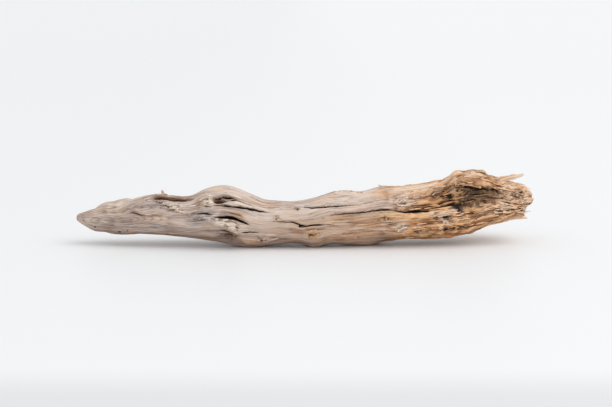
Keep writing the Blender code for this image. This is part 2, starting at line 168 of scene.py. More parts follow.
# Edges of torn layers: path of (x, turn), how far the layer fades and on which side, height of the edge,
# how far it hangs over, and how pale it is
STEPS = (
    (((-136, 76), (-127, 65), (-119, 56), (-112.6, 43), (-107, 35), (-99, 23), (-92, 16)), 7, 2, 1.5, 1.8),
    (((-130, 72), (-116, 69), (-106, 68), (-92, 63)), 6, 2.6, 1.8, 0.1),
    (((-184, 60), (-172, 63), (-160, 63), (-151, 50), (-145, 33), (-137, 17)), -5, 0.9, 0.4, 0.6),
    (((-168, 8), (-158, 4), (-146, -2), (-136, -8)), 5, 0.5, 0.4, 0.5),
    (((-174, -12), (-160, -16), (-142, -20), (-128, -24)), 5, 0.5, 0.4, 0.4),
    (((-38, 50), (-13, 51), (-1, 50), (20, 39), (37, 36), (49, 41), (64, 44)), -8, 1.4, 0.6, 0.9),
    (((-78, 29), (-66, 31), (-52, 34), (-38, 40)), 4, 1, 0.8, 1),
    (((-74, -3), (-62, -4), (-50, -8)), -5, 1.1, 0.8, 1),
    (((-70, -16), (-58, -24), (-46, -22)), 5, 1.2, 0.7, 0.6),
    (((-150, -34), (-120, -40), (-84, -36)), 6, 0.9, 0.4, 0.2),
    (((20, 22), (40, 20), (58, 24), (74, 20)), 5, 0.8, 0.6, 0.7),
    (((60, -2), (72, -6), (84, -4), (96, -8)), 4, 0.9, 0.8, 0.8),
    (((84, 9), (98, 6), (112, 2), (124, 0)), -4, 1.2, 0.9, 0.9),
    (((84, -3), (111, -6), (121, -13), (134, -17), (150, -20)), 6, 1.3, 1.2, 1.1),
    (((98, -18), (112, -22), (128, -27), (148, -34)), -5, 1.1, 0.8, 1),
    (((60, -40), (94, -36), (111, -32), (124, -38), (145, -46), (170, -48)), 7, 1.6, 1.4, 0.7),
    (((86, -46), (104, -52), (122, -58), (150, -62)), 5, 1.2, 0.8, 0.6),
    (((72, 48), (84, 44), (96, 40), (108, 47)), 5, 1.4, 1.2, 0.9),
    (((66, 34), (76, 30), (88, 27), (98, 24)), 4, 1.3, 1.2, 1),
    (((118, 68), (130, 62), (142, 62), (152, 54)), 4, 1.2, 1, 0.9),
    (((122, 84), (134, 78), (146, 76), (156, 66)), 4, 1.1, 0.9, 0.9),
    (((150, 4), (162, 2), (174, 6), (186, 4)), 4, 1.2, 1, 0.9),
    (((148, -10), (162, -16), (176, -14), (184, -16)), 4, 1.2, 1, 0.9),
    (((-150, 128), (-60, 134), (0, 128), (90, 134), (160, 130)), -8, 1.6, 0.6, 0.5),
    (((-60, 186), (20, 180), (80, 186), (150, 180)), 9, 1.8, 0.8, 0.5),
    (((-140, 212), (-40, 206), (60, 214)), -7, 1.3, 0.5, 0.4),
)

# Cracks: path of (x, turn), half width, depth
CRACKS = (
    (((-128, 69), (-116, 66), (-106, 65), (-90, 60)), 1.6, 3.4),
    (((-146, 30), (-140, 21), (-135.5, 15), (-131, 10)), 1.4, 2.6),
    (((-184, 70), (-172, 72), (-161, 74), (-152, 62), (-146, 44), (-139, 27)), 0.9, 1.7),
    (((-136, 74), (-127, 62.5), (-119, 53.5), (-112.6, 40.5), (-107, 32), (-97, 18)), 1, 2.4),
    (((-76, 28), (-67.6, 28), (-58.7, 29.5), (-47.2, 34), (-37.6, 36.5), (-27, 37)), 1.1, 5),
    (((-78, 44), (-67, 47), (-61, 46), (-56, 43.5), (-51, 41.5), (-43, 39.5)), 1.5, 4.6),
    (((-88, 71), (-72, 60), (-54, 58)), 0.8, 1),
    (((-88.5, 44), (-87, 36), (-83, 28), (-77, 25)), 0.8, 2.2),
    (((-76, 2.5), (-69, 3), (-63, 5.5), (-58, 5), (-52, 3), (-46, 0)), 1.5, 9),
    (((-69, 15), (-62, 15.5), (-55, 15), (-49, 11)), 0.9, 2),
    (((-86, -33), (-77.8, -31.5), (-72, -30), (-65, -28), (-60, -29), (-54, -22)), 1.3, 4.4),
    (((-70, -36), (-62, -37), (-54, -33)), 1.2, 3),
    (((-57, -21), (-47, -19), (-38, -17)), 1, 3.4),
    (((-90, 14.5), (-82, 11), (-76, 7)), 1, 3),
    (((-48, 46), (-34, 49), (-22, 51), (-9, 51), (5, 44), (20, 36), (34, 33), (45, 37), (60, 41)), 0.8, 2.8),
    (((-28, 14), (-16, 12), (-10, 11), (-6, 5), (-3, 0), (3, 1), (8, 2), (16, -2.5), (26, -9)), 1, 4),
    (((19, 17), (28, 17), (36, 18.5), (45, 21.5), (55, 20), (66, 18.5), (80, 15)), 0.9, 4.2),
    (((70, 18), (78, 13.5), (86, 12), (94, 10.5), (103, 9)), 1.3, 4.6),
    (((39, -3), (52, -6), (64, -8)), 0.7, 1.2),
    (((-31, -31), (-17, -38), (-5, -43)), 0.8, 1.2),
    (((16, 60), (34, 56), (46, 58)), 0.8, 1.2),
    (((88, -32), (92, -31), (97, -31)), 1.2, 3.4),
    (((100, -9), (106, -2), (117, -5), (124, -7), (132, -9)), 0.9, 3.2),
    (((133, -20), (144, -21), (152, -23), (164, -24), (171, -28), (180, -31)), 1.1, 4.2),
    (((93, -32), (111, -31), (124, -29), (140, -33), (163, -42)), 1.3, 3),
    (((-160, 112), (-120, 118), (-70, 112), (-20, 108)), 1.2, 3.4),
    (((-40, 140), (10, 146), (70, 140), (110, 144)), 1.4, 4.6),
    (((60, 100), (100, 106), (150, 98)), 1.2, 4),
    (((-130, 178), (-80, 184), (-30, 178)), 1.2, 3.2),
    (((30, 188), (80, 194), (150, 186)), 1.4, 4.4),
    (((-90, 214), (-30, 220), (20, 214)), 1.1, 2.8),
    (((70, 218), (120, 226), (165, 220)), 1.3, 3.2),
)

# Knots: x, turn, radius, height of the swelling, radius and depth of the hole in it
KNOTS = (
    (-81, 36, 5.5, 3.2, 0, 0),
    (-34, -39, 3.6, 1.5, 1.3, 3),
    (4, -21, 5, 1.3, 1.2, 3.4),
    (-7, 43, 3.2, 0.9, 1, 1.4),
    (-3, -1, 2.4, 0.2, 1.7, 4.5),
    (78, -26, 4.5, 1.4, 0, 0),
    (125, -47, 3, 0.3, 1.7, 3.4),
    (124, 40, 5.5, 5.6, 0, 0),
    (142.4, 7.5, 4.6, 1.6, 1.2, 1.6),
    (8, -74, 8, 2.2, 0, 0),
    (50, -112, 16, 5.8, 0, 0),
    (-100, 150, 8, 2.6, 2.4, 3.2),
    (30, 166, 10, 3.2, 2.6, 4),
    (98, 240, 7, 2, 1.8, 2.6),
)

# The rotten pocket under the shelf: its lower and upper edge, its depth, and its depth under the lip, by x
POCKET_LOW = ((92, 26), (104, 30), (116, 14), (128, 2), (153, -2), (170, 4))
POCKET_HIGH = (
    (92, 34), (103, 46), (112, 54), (118, 56), (124, 51), (132, 47.5), (139, 47), (145, 45), (151, 40),
    (157, 38), (170, 18),
)
POCKET_DEPTH = (
    (92, 0), (102, 3.2), (112, 4.2), (120, 5), (129, 7), (137, 8.5), (150, 8.5), (158, 6), (170, 0),
)
UNDERCUT = ((126, 0), (131, 5), (140, 8), (150, 9), (157, 6), (162, 0))

# Scooped hollows: x, turn, half length, half width, depth
HOLLOWS = (
    (-70.5, 39, 5.5, 2.4, 3.8), (-62, -44, 6, 4.4, 4.6), (109, 47, 8, 4, 3),
    (97, 19.5, 6, 1.7, 3.6), (113, 22, 6.5, 1.7, 3), (79, 31, 3.4, 1.2, 2.6), (88, 29, 2.4, 1.2, 2.4),
    (73, 21, 2.2, 1, 1.8), (136, -7, 2, 1, 2.6), (141.5, -13, 2.4, 1.1, 2.4),
    (176, 30, 4, 2.4, 3.2), (160, 48, 6, 3, 3.4), (143, 44, 4.4, 0.9, 3),
    (125, -30.5, 1.6, 1.3, 3.2), (92.5, -31, 3, 1.2, 3.4),
)

# Crumpled, granular spots: x, turn, half length, half width, height of the crumple
CRUMPLED = (
    (-80, 36, 6, 5, 0.7), (-61, -6, 10, 3.6, 1), (-80, 2, 11, 6, 0.35), (79, 40, 7, 4.5, 0.8),
    (114, -12, 6, 4, 0.4), (124, 40, 6, 7, 1.7), (-62, -44, 7, 5, 0.5), (79, -20, 4, 3, 0.6),
    (176, 20, 14, 22, 0.9), (-110, 42, 12, 2.5, 0.6), (142, 12, 10, 5, 0.5), (-36, -38, 4, 3.5, 0.6),
    (4, -21, 5, 4, 0.7), (165, 0, 16, 8, 0.5), (65, -2, 4, 5, 0.5), (-23.5, 19, 3, 3, 0.5),
)

# Smooth spots, where the grain hardly shows: x, turn, half length, half width, strength
CALM = (
    (130, -54, 50, 7, 0.9), (-30, -48, 60, 6, 0.5), (-20, 30, 34, 12, 1), (20, 44, 40, 10, 0.9),
    (52, 66, 26, 9, 1), (-60, 78, 24, 12, 0.8), (95, 72, 30, 9, 0.9), (-36, -10, 18, 9, 0.8),
    (64, 29, 14, 4.5, 0.9), (10, 8, 26, 8, 0.6), (109, 47, 9, 5, 0.7), (155, 30, 8, 7, 0.7),
    (-110, 0, 30, 8, 0.3), (40, -34, 40, 6, 0.5),
)

# The shelf over the pocket: its height by x, the middle and half of its spread in turn, and how far its lip
# stands out and hangs down
SHELF_HEIGHT = (
    (115, 0), (118.5, 1.6), (123, 5.2), (134, 5.6), (144, 6.2), (148.5, 5.2), (153, 1.4), (160, 0),
)
SHELF_TURN = 78
SHELF_HALF_TURN = 36
LIP_OUT = 3.2
LIP_DOWN = 4

# Relief along the grain: height, length of a bump in x, how many bumps go round the log, and seed
WANDER = (0.16, 70, 3, 11)
FIBRE_STRAY = (0.035, 16, 9, 12)
FLUTES = (1.3, 75, 6, 21)
FURROWS = (0.75, 34, 17, 22)
FIBRES = (0.4, 18, 36, 23)
CRUMBS = (1, 6, 28, 24)
TORN_RIM = ((1.5, 1, 20, 31), (1, 1, 46, 32))
ROT_PATCHES = (0.5, 14, 9, 61)
RIDGES = (1, 26, 62, 71)
FINE_RIDGES = (0.5, 15, 128, 72)
CHECK_LINES = (1, 52, 15, 73)
CHECK_PATCHES = (1, 34, 9, 74)
LAYERS = (2.3, 46, 9, 75)
CHIPS = (2.2, 24, 10, 78)
WHORL_STRAY = (1.1, 13, 10, 81)
PATCH_SLIDE = (2.5, 8, 40, 91)
PATCH_STRAY = (0.8, 10, 30, 92)
LINE_STRAY = (0.8, 7, 30, 93)
TAN_STRAY = (14, 30, 6, 94)

# Lumps: height, length in x, radius of the round on which they are read, and seed
POCKET_LUMPS = (0.25, 5, 5, 52)
HOLLOW_RIM = (0.22, 2.2, 6, 57)
CRUMPLE = ((1, 2.6, 9, 58), (0.8, 1.6, 15, 59))
GRIT = ((0.8, 2.6, 9.5, 76), (0.45, 1.5, 17, 77))

# Waves by x alone: height, length of a bump, and seed
RAGGED = ((0.42, 2.7, 0), (0.22, 1.1, 1))
CRACK_OPENING = (0.45, 5, 120)
POCKET_RIM = (1.8, 5, 51)
LIP_RIM = (0.2, 4, 53)

# Torn fibres on the broken face: height, distance across a bump, and seed, how far they are sunk, and how
# much deeper the middle lies than the rim
FACE_RELIEF = ((1.8, 3, 41), (2.6, 6.5, 42), (1.1, 1.4, 43))
FACE_SINK = 2
FACE_HOLLOW = 5

# Seeds of the torn edges, cracks, fibres and prongs, to which each adds its own number
STEP_SEED = 54
CRACK_SEED = 80
FIBRE_SEED = 40
PRONG_SEED = 90

# Seeds of the random draws: the fibres' sizes, and the places and sizes of the slivers and crumbs
FIBRE_SIZE_SEED = 23
SLIVER_PLACE_SEED = 31
SLIVER_SIZE_SEED = 11
CRUMB_PLACE_SEED = 5
CRUMB_SIZE_SEED = 7

# Fine cracks: path of (x, turn), half width, depth
FINE_CRACKS = (
    (((-98, 12), (-93, 10), (-89, 11)), 0.5, 1.2),
    (((-95, 4), (-90, 2), (-86, 3)), 0.5, 1.2),
    (((-92, -2), (-87, -4), (-83, -3)), 0.5, 1),
    (((-86, 0), (-81, -3), (-77, -6)), 0.5, 1.2),
    (((-99, 20), (-94, 18), (-90, 20)), 0.5, 1.2),
    (((-84, -8), (-79, -12), (-75, -13)), 0.5, 1),
    (((61, 4), (64, -1), (66, -8)), 0.7, 1.6),
    (((64, -9), (70, -7)), 0.6, 1.4),
    (((66, -12), (72, -13)), 0.6, 1.4),
    (((70, -18), (76, -20)), 0.7, 1.4),
    (((136, 27), (142, 24.5), (149, 23)), 1.1, 3.6),
    (((128, 64), (136, 62), (145, 62), (152, 54)), 0.8, 2),
    (((124, 71), (131, 70), (138, 72)), 0.8, 1.6),
    (((150, -8), (163, -12), (178, -10)), 0.8, 2),
    (((158, 10), (170, 7), (184, 8)), 0.8, 2.2),
    (((-60, 72), (-40, 70), (-18, 72)), 0.6, 0.9),
    (((-137, -20), (-120, -24), (-103, -25)), 0.6, 0.8),
    (((-116, 12), (-104, 8), (-92, -4)), 0.6, 0.8),
    (((28, -9), (44, -9.5), (61, -12)), 0.6, 1),
    (((36, -20), (53, -23), (69, -29)), 0.6, 1),
    (((12, -38), (32, -48), (53, -50)), 0.7, 1.2),
    (((-3, -13), (2, -9), (7, -7), (13, -12)), 0.6, 1.4),
    (((-168, 2), (-163, 6), (-158, 5)), 0.6, 0.7),
    (((-158, -3), (-152, 1), (-144, -2)), 0.6, 0.7),
    (((-166, -16), (-156, -14), (-146, -18)), 0.5, 0.6),
    (((-183, -13), (-178, -27), (-174, -34)), 0.6, 0.8),
)

# Whorls of growth rings: x, turn, how much longer than wide, and half width
WHORLS = (
    (-160, 2, 5.5, 9), (-82, 0, 2, 5), (-80, 36, 1.3, 5), (-35, -39, 1.3, 4.5), (4, -21, 1.8, 5),
    (142.4, 7.5, 1.3, 5.5), (71, -4, 1.6, 4), (-20, 120, 4, 9), (60, 170, 3.5, 10),
    (-110, 190, 4.5, 9),
)

# Small pits and beetle holes, a little longer than wide: x, turn, radius, depth
PITS = (
    (-178.7, -27, 0.8, 1), (-175.5, -33, 1.1, 1.3), (-155, -50, 1.2, 1.6), (-152, -45, 0.8, 1.2),
    (-148, -44, 0.9, 1.2), (-55.4, -9.5, 1.4, 2.6), (-159.6, 7, 0.7, 0.8), (-153.6, 3, 0.8, 0.8),
    (108, -4, 0.6, 1.2), (112, -14, 0.8, 1.4), (117, -8.5, 0.6, 1.2), (113.5, -4.5, 0.5, 1),
    (115, -17.5, 0.7, 1.3), (81, 43, 0.9, 1.8), (66, -26, 0.7, 1.2), (150, 64, 1, 1.6),
    (160, -2, 1.1, 1.8), (168, 44, 1.4, 2.2), (-24, 20, 1.1, 1.3), (31, -27, 0.7, 1), (14, 14, 0.6, 0.9),
    (-6.5, 44.5, 0.9, 1.1), (-4.5, -1, 1.2, 3.2), (3.8, -21, 1.1, 2.8), (-33, -38, 1.1, 2.8),
    (-36.5, -41, 0.8, 2), (180, 50, 1.3, 2.4), (172, 2, 1, 2), (178, -8, 1.1, 2),
)

# Patches of colour: x, turn, half length, half width, strength
SILVER = (
    (-145, 62, 20, 7, 0.55), (-124, 46, 13, 6, 0.9), (-150, -10, 24, 5, 0.7), (-158, 6, 12, 3, 0.8),
    (-124, -26, 13, 4, 0.8), (-84, 6, 14, 9, 1), (-104, 46, 9, 5, 0.7), (64, 29, 13, 4.5, 0.8),
    (-41, -4, 8, 6, 0.4), (-25, -18, 16, 6, 0.3), (-100, 120, 60, 12, 0.7), (30, 130, 50, 10, 0.6),
    (-60, 200, 60, 12, 0.5),
)
TAN = (
    (12, 4, 38, 7, 0.4), (12, -12, 55, 10, 0.35), (60, 2, 42, 11, 0.6), (27, 7, 14, 3.4, 0.75),
    (4, -20, 7, 4.5, 1), (-24, 20, 4, 2.4, 0.8), (-48, -46, 14, 4, 0.5), (10, -11, 26, 2.2, 0.35),
    (-56, 15, 4, 2, 1), (-165, 60, 20, 3, 0.25), (-128, 4, 30, 4, 0.15), (40, -30, 34, 6, 0.6),
    (70, 4, 20, 5, 0.9), (-86, 34, 4, 3, 0.5), (64, 66, 10, 8, 0.8), (92, 66, 30, 9, 0.35),
    (30, -52, 40, 5, 0.4),
)
BROWN = (
    (64, 66, 5, 8, 0.4), (109, 45, 8, 5.5, 1), (2, -16, 5, 2, 0.6), (-63, 44, 5, 1.4, 0.6),
    (-56, 15.5, 2.4, 1.2, 1), (96, 21, 9, 3, 0.9), (-7, 44.5, 2.2, 1.4, 0.9), (148, 60, 7, 2.4, 0.5),
    (126, 66, 6, 2, 0.5), (4, -21, 2.4, 1.8, 1), (-86.5, 38, 1.4, 4, 0.8), (140, -10, 7, 3, 0.6),
    # The brown spot at (-62, -44) fills the recess under the hump: painted shade there as well as stain
    (72, -10, 5, 3, 0.6), (160, -30, 20, 3, 0.4), (-70, 39, 7, 3, 1.1), (-62, -44, 7, 4.5, 1.1),
    (-23.5, 19.5, 2.2, 2.6, 0.8), (113, 23, 8, 3, 0.9), (80, 31, 6, 2, 0.8), (97, 40, 7, 3.5, 0.6),
    # The brown spot at (134, 48) lies along the lip's underside: painted shade under the shelf as well as
    # stain
    (74, 20, 4, 2, 0.7), (88, 28, 5, 2.5, 0.7), (134, 48, 6, 2, 0.9), (160, 46, 7, 3, 0.8),
    (100, -33, 12, 1.8, 0.5), (142, 10, 8, 4, 0.6), (-6, -13, 6, 1.2, 0.5), (115, -52, 50, 5, 0.45),
)
CREAM = (
    (-182, 20, 9, 12, 0.4), (-160, 92, 22, 7, 1), (-80, 36, 4.6, 4.2, 1.3), (-55, 34, 12, 2, 1),
    (-62, -6, 11, 4.2, 1.25), (-34, -39, 3.6, 2.6, 0.9), (79, 43, 6, 4, 1.2), (78, -20, 4.2, 3.2, 1.5),
    (116, 3, 14, 2.2, 0.9), (113, -12, 6, 4, 1.1), (138, 78, 14, 4, 0.5), (124, 42, 4, 3.5, 0.7),
    (165, -6, 16, 5, 0.5), (178, 12, 8, 8, 0.6), (170, 12, 13, 10, 0.6), (-30, 24, 18, 6, 0.45),
    (95, 70, 26, 7, 0.75), (30, 47, 26, 4, 0.5), (6, 31, 30, 4, 0.45), (176, 52, 9, 6, 0.9),
    (184, 18, 6, 16, 0.75), (185, -14, 7, 7, 0.6), (170, 66, 12, 7, 0.6), (45, 74, 22, 5, 0.6),
    (-64, 84, 20, 8, 0.3), (140, 64, 10, 2.2, 0.7),
)
ROT = (
    # The spots at (150, 43) and (134, 47) lie along the lip's underside: painted shade under the shelf as
    # well as rot
    (150, 43, 8, 2, 1), (156, 28, 8, 7, 0.85), (137, 30, 14, 8.5, 0.9), (134, 47, 5, 1.6, 0.6),
    # The rot spot at (-62, -45) fills the recess under the hump: painted shade there as well as rot
    (140, 26, 10, 4, 0.55), (174.5, 31, 6, 3.4, 1.3), (162, 40, 5, 2.6, 0.9), (-62, -45, 6, 6, 0.9),
    (113, 22, 6, 1.8, 0.3), (97, 19, 6, 1.4, 0.7), (128, 24, 4, 4, 0.3), (180, 55, 3, 2, 0.9),
    (186, 38, 3, 2.4, 0.7), (183, 8, 2.4, 1.6, 0.6),
)

# Lines of colour that follow an edge: path of (x, turn), half width, strength
CREAM_LINES = (
    (((-76, 53), (-62, 53), (-46, 48)), 1, 0.6),
    (((118, 62), (130, 62), (142, 60), (154, 46)), 1.2, 0.7),
    (((135, 30), (142, 28), (149, 26)), 0.8, 0.9),
    (((-88, 46), (-84, 50), (-78, 50), (-75, 44)), 1, 1.3),
)
BROWN_LINES = (
    (((-88.5, 44), (-87, 36), (-84, 30), (-79, 26)), 0.9, 1),
    # Painted shadow: a dark brown line on the ledge's front under the torn layer
    (((-130, 71), (-116, 68), (-106, 67), (-92, 62)), 1.6, 1.1),
    (((66, -46), (91, -34), (105, -31), (126, -29), (140, -34), (162, -45)), 1.8, 0.8),
    (((-70, 13), (-62, 14), (-50, 11)), 1.3, 0.7),
    (((-78, 46), (-62, 47), (-45, 42)), 1.4, 0.5),
    # Painted shade: a darker band along the blade's lower edge on the belly
    (((-182, -48), (-150, -60), (-110, -62), (-66, -58)), 2.6, 0.5),
    (((-76, 26), (-62, 27), (-46, 32)), 1.4, 0.6),
    (((92, 12), (108, 10), (124, 7)), 1.4, 0.5),
    (((-188, 64), (-175, 68), (-160, 69), (-151, 57), (-145, 38), (-136, 20)), 1.2, 1.1),
    (((19, 18), (45, 23), (66, 20), (80, 16)), 1, 0.6),
    (((-28, 16), (-10, 13), (-3, 3), (16, 0)), 0.8, 0.5),
    (((112, -52), (128, -52), (146, -56)), 3, 0.5),
)

# Splinters at the broken end: root (x, y, z), tip (x, y, z), radius at the root, flatness
SPLINTERS = (
    ((154, 13, 49.8), (180, 15, 57), 3.6, 0.85),
    ((168, 19, 45), (183, 21, 47.2), 2.4, 0.7),
    ((170, 8.6, 21.4), (184, 8.4, 21.6), 2.2, 0.7),
    ((162, 26, 50), (177, 30, 52), 2.4, 0.7),
    ((166, 36, 36), (185, 39, 38), 2.8, 0.7),
    ((170, 33, 26), (183, 35, 25), 2.4, 0.7),
)

# The worn stub of a twig on the blade's back: root, tip, radius at the root, flatness
TWIG = ((-118.6, 1.5, 38.5), (-119.4, 0.4, 46.2), 1.9, 1)

# Sides of the splinters, the torn fibres and the stub's prongs, and cuts along them
SPLINTER_MESH = (14, 14)
FIBRE_MESH = (7, 4)
PRONG_MESH = (10, 8)

# Short torn fibres: share of the way out to the rim, length, how deep they are rooted and how far behind the
# rim, lean to the side and upwards, radius and flatness
FIBRE_INSET = (0.55, 0.97)
FIBRE_LENGTH = (2.6, 4.8)
FIBRE_ROOT = 2
FIBRE_SETBACK = 4
FIBRE_LEAN = (-1.2, 1.2)
FIBRE_RISE = (-1.2, 1)
FIBRE_RADIUS = (0.8, 1.5)
FIBRE_FLATNESS = 0.6

# The stub's prongs: lean along and across, and share of its height
PRONGS = ((0, 0, 1), (1.5, -0.7, 0.62), (-1.1, 0.5, 0.45))

# Slivers and crumbs: their sizes, the stretch of the log that they lie on, how far they stay over the table,
# and how many places are tried for each
SLIVER_LENGTH = (2, 7.5)
SLIVER_WIDTH = (0.3, 0.8)
SLIVER_THICKNESS = (0.25, 0.45)
SLIVERS_FROM_X = -170
CRUMB_SIZE = (0.35, 0.85)
CRUMB_STRETCH = 1.8
CRUMBS_FROM_X = 100
STREWN_TO_X = 183
CLEAR_OF_TABLE = 3
TRIES = 16

# Radius of the log that the flakes bend round
LOG_RADIUS = 22

# Lifted flakes: x, turn, length, width, lift of the free edge, slant to the grain, cream, tan, brown
FLAKES = (
    (-115, 50, 9, 2.4, 1, -8, 0.9, 0.3, 0),
    (-108, 37, 8, 2.2, 1.1, -12, 1, 0.3, 0),
    (-119, 74, 8, 2.6, 1.6, 10, 0.6, 0.5, 0.2),
    (-126, 61, 9, 2.6, 1.3, -12, 1.3, 0.1, 0),
    (-103, 29, 8, 2.4, 1.2, -16, 1.3, 0.1, 0),
    (-97, 19, 6, 2.2, 1, -16, 1.2, 0.1, 0),
    (-84, 46, 7, 2.6, 1.6, 16, 1, 0.3, 0),
    (-79, 29, 7, 2, 1, -8, 1, 0.2, 0),
    (-60.5, -7, 10.5, 3.2, 0.35, -3, 1.3, 0.1, 0),
    (-53, -9, 8, 2.6, 0.8, -8, 0.9, 0.1, 0),
    (79, 43, 9, 2.8, 1.8, 14, 1.8, 0.2, 0),
    (84, 36, 8, 2.4, 1.8, -14, 1.4, 0.4, 0),
    (77, 34, 6, 2, 1.4, 30, 1.3, 0.5, 0.2),
    (79, -22, 8, 3.2, 1, 20, 2, 0, 0),
    (121, 54, 11, 3.2, 2.2, -6, 0.3, 1, 0.5),
    (128, 52, 10, 3, 2.6, 4, 0.6, 1, 0.2),
    (135, 50, 11, 3.4, 2.8, -4, 0.4, 1, 0.4),
    (141, 47, 9, 3, 2.4, -12, 0.3, 1, 0.6),
    (147, 42, 9, 3, 2.2, -14, 0.2, 0.9, 0.7),
    (132, 70, 14, 4, 0.9, 5, 0.5, 1, 0.2),
    (143, 66, 14, 3.6, 1.5, -10, 0.6, 1, 0.1),
    (112, 0, 20, 3.4, 1.2, -6, 0.9, 0.8, 0),
    (127, -12, 16, 3, 1.2, -8, 0.8, 0.8, 0),
    (150, -20, 18, 3, 1.3, -4, 0.5, 0.9, 0.2),
    (98, -26, 16, 3, 1.1, 3, 0.5, 0.9, 0.1),
    (168, -6, 14, 3.4, 1.4, 4, 0.8, 0.7, 0),
    (174, 12, 14, 3.6, 1.6, -3, 0.7, 0.7, 0),
    (172, 50, 16, 3.4, 1.8, 6, 0.6, 0.8, 0.2),
    (166, 66, 14, 3.2, 1.6, -5, 0.5, 0.8, 0.2),
    (176, -38, 13, 3, 1.4, 2, 0.4, 0.9, 0.3),
    (30, 70, 14, 3.2, 1.3, 6, 0.6, 0.1, 0),
    (42, 76, 10, 3, 1.4, -6, 0.5, 0.2, 0.1),
    (108, 50, 10, 3, 1.6, 12, 0.7, 0.7, 0),
    (70, 110, 18, 4, 1.4, 4, 0.4, 0.4, 0.1),
    (130, 130, 20, 4, 1.8, -4, 0.3, 0.8, 0.2),
    (20, 170, 16, 3.6, 1.4, 6, 0.4, 0.3, 0.1),
    (150, 160, 18, 4, 1.8, 4, 0.4, 0.8, 0.3),
    (120, 200, 18, 3.6, 1.5, -4, 0.3, 0.8, 0.3),
    (-70, 150, 14, 3.4, 1.2, 5, 0.5, 0.1, 0),
)


# The grain's patterns: bumps to a metre along and across it, detail, roughness, warp and shift
GRAIN_PATTERNS = {
    "streaks": (38, 1150, 5, 0.6, 0.4, 0),
    "broad": (11, 150, 3, 0.5, 0.6, 3),
    "mottle": (80, 140, 4, 0.6, 0.2, 7),
    "hairs": (95, 2600, 3, 0.6, 0.2, 1),
    "long_lines": (14, 560, 2, 0.5, 0.5, 5),
    "flecks": (170, 900, 2, 0.5, 0.3, 9),
    "gaps": (60, 620, 2, 0.5, 0.3, 11),
}

# What is painted on every piece for its wood, besides its grain: its colours, the painted shade of its belly
# and crevices, and the grain's height that lays painted shade and highlights
SHARES = (
    "tan", "brown", "cream", "silver", "rot", "crevice_shade", "worn", "ring", "calm", "granular", "shade",
)

# The camera: metres from what it looks at, degrees that it looks down from, and the height it looks at
CAMERA_DISTANCE = 1.2015
CAMERA_RISE = 9
AIM_HEIGHT = 35.4
SENSOR_WIDTH = 36

# The light: where the key light comes from, and the tint of the light all round
KEY_DIRECTION = (0.6, -0.25, 0.76)
TENT_COLOUR = (0.97, 0.985, 1, 1)

# The table: its size in metres, its painted light at the left and right of the piece, the x at which they
# are reached, and the y and painted shade of its duller front
TABLE_SIZE = 40
TABLE_BRIGHTNESS = (0.965, 1.02)
TABLE_HALF_SPAN = 0.35
TABLE_FRONT_Y = (-0.385, -0.455)
TABLE_FRONT_SHADE = (0.86, 0.86, 0.87, 1)


def smooth_curve(points, at):
    """A smooth curve through (place, value) points, read at each place of an array."""
    place, value = np.array(points, float).T
    slope = np.gradient(value, place)
    at = np.clip(at, place[0], place[-1])
    i = np.clip(np.searchsorted(place, at) - 1, 0, len(place) - 2)
    span = place[i + 1] - place[i]
    t = (at - place[i]) / span
    return (
        (2 * t**3 - 3 * t**2 + 1) * value[i]
        + (t**3 - 2 * t**2 + t) * span * slope[i]
        + (3 * t**2 - 2 * t**3) * value[i + 1]
        + (t**3 - t**2) * span * slope[i + 1]
    )


def ease(low, high, value):
    """0 below low, 1 above high, and smooth between."""
    t = np.clip((value - low) / (high - low), 0, 1)
    return t * t * (3 - 2 * t)


def lattice_value(ix, iy, iz, seed):
    """A repeatable number from -1 to 1 for each whole-number lattice point."""
    n = (ix * 374761393 + iy * 668265263 + iz * 1442695041 + seed * 97531) & 0xFFFFFFFF
    n = ((n ^ (n >> 13)) * 1274126177) & 0xFFFFFFFF
    return ((n ^ (n >> 16)) & 0xFFFF) / 32767.5 - 1


def noise(x, y, z, seed):
    """Smooth noise from about -1 to 1, with one bump to a unit of length."""
    corner = [np.floor(v).astype(np.int64) for v in (x, y, z)]
    fx, fy, fz = (v - c for v, c in zip((x, y, z), corner))
    fx, fy, fz = (f * f * f * (f * (6 * f - 15) + 10) for f in (fx, fy, fz))
    total = 0
    for dx in (0, 1):
        for dy in (0, 1):
            for dz in (0, 1):
                weight = (fx if dx else 1 - fx) * (fy if dy else 1 - fy) * (fz if dz else 1 - fz)
                total = total + weight * lattice_value(
                    corner[0] + dx, corner[1] + dy, corner[2] + dz, seed
                )
    return total


def lumps(kind, x, turn):
    """Noise over the log, by x and by a round of its own."""
    height, length, radius, seed = kind
    return height * noise(x / length, np.cos(turn) * radius, np.sin(turn) * radius, seed)


def relief(kind, x, turn):
    """Noise drawn out along the grain, by x and by how many bumps go round the log."""
    height, length, per_turn, seed = kind
    return lumps((height, length, per_turn / (2 * math.pi), seed), x, turn)


def wave(kind, x, seed=0):
    """Noise that changes with x alone."""
    height, length, own_seed = kind
    return height * noise(x / length, 0 * x, 0 * x, own_seed + seed)


def section(x):
    """Middle height, half height, middle depth and half depth of the log at x."""
    table = np.array(SECTIONS)
    low, high, middle_y, half_y = (
        smooth_curve(np.column_stack((table[:, 0], table[:, k])), x) for k in (1, 2, 3, 4)
    )
    low = low - SINK
    high = high - SINK
    return (low + high) / 2, (high - low) / 2, middle_y, half_y


def turned_from(turn, other=0):
    """How far a turn is from another, the short way round."""
    return (turn - other + math.pi) % (2 * math.pi) - math.pi


def offsets(x, turn, radius, at):
    """Distances from a spot, along the log and round it."""
    spot_x, spot_turn = at
    return x - spot_x, turned_from(turn, math.radians(spot_turn)) * radius


def across_path(path, x, turn, radius):
    """Distance across a path round the log, and a fade that falls to 0 at the path's two ends."""
    degrees = smooth_curve(path, x)
    across = turned_from(turn, np.radians(degrees)) * radius
    share = np.clip((x - path[0][0]) / (path[-1][0] - path[0][0]), 0, 1)
    return across, np.sqrt(np.clip(np.sin(math.pi * share), 0, 1))


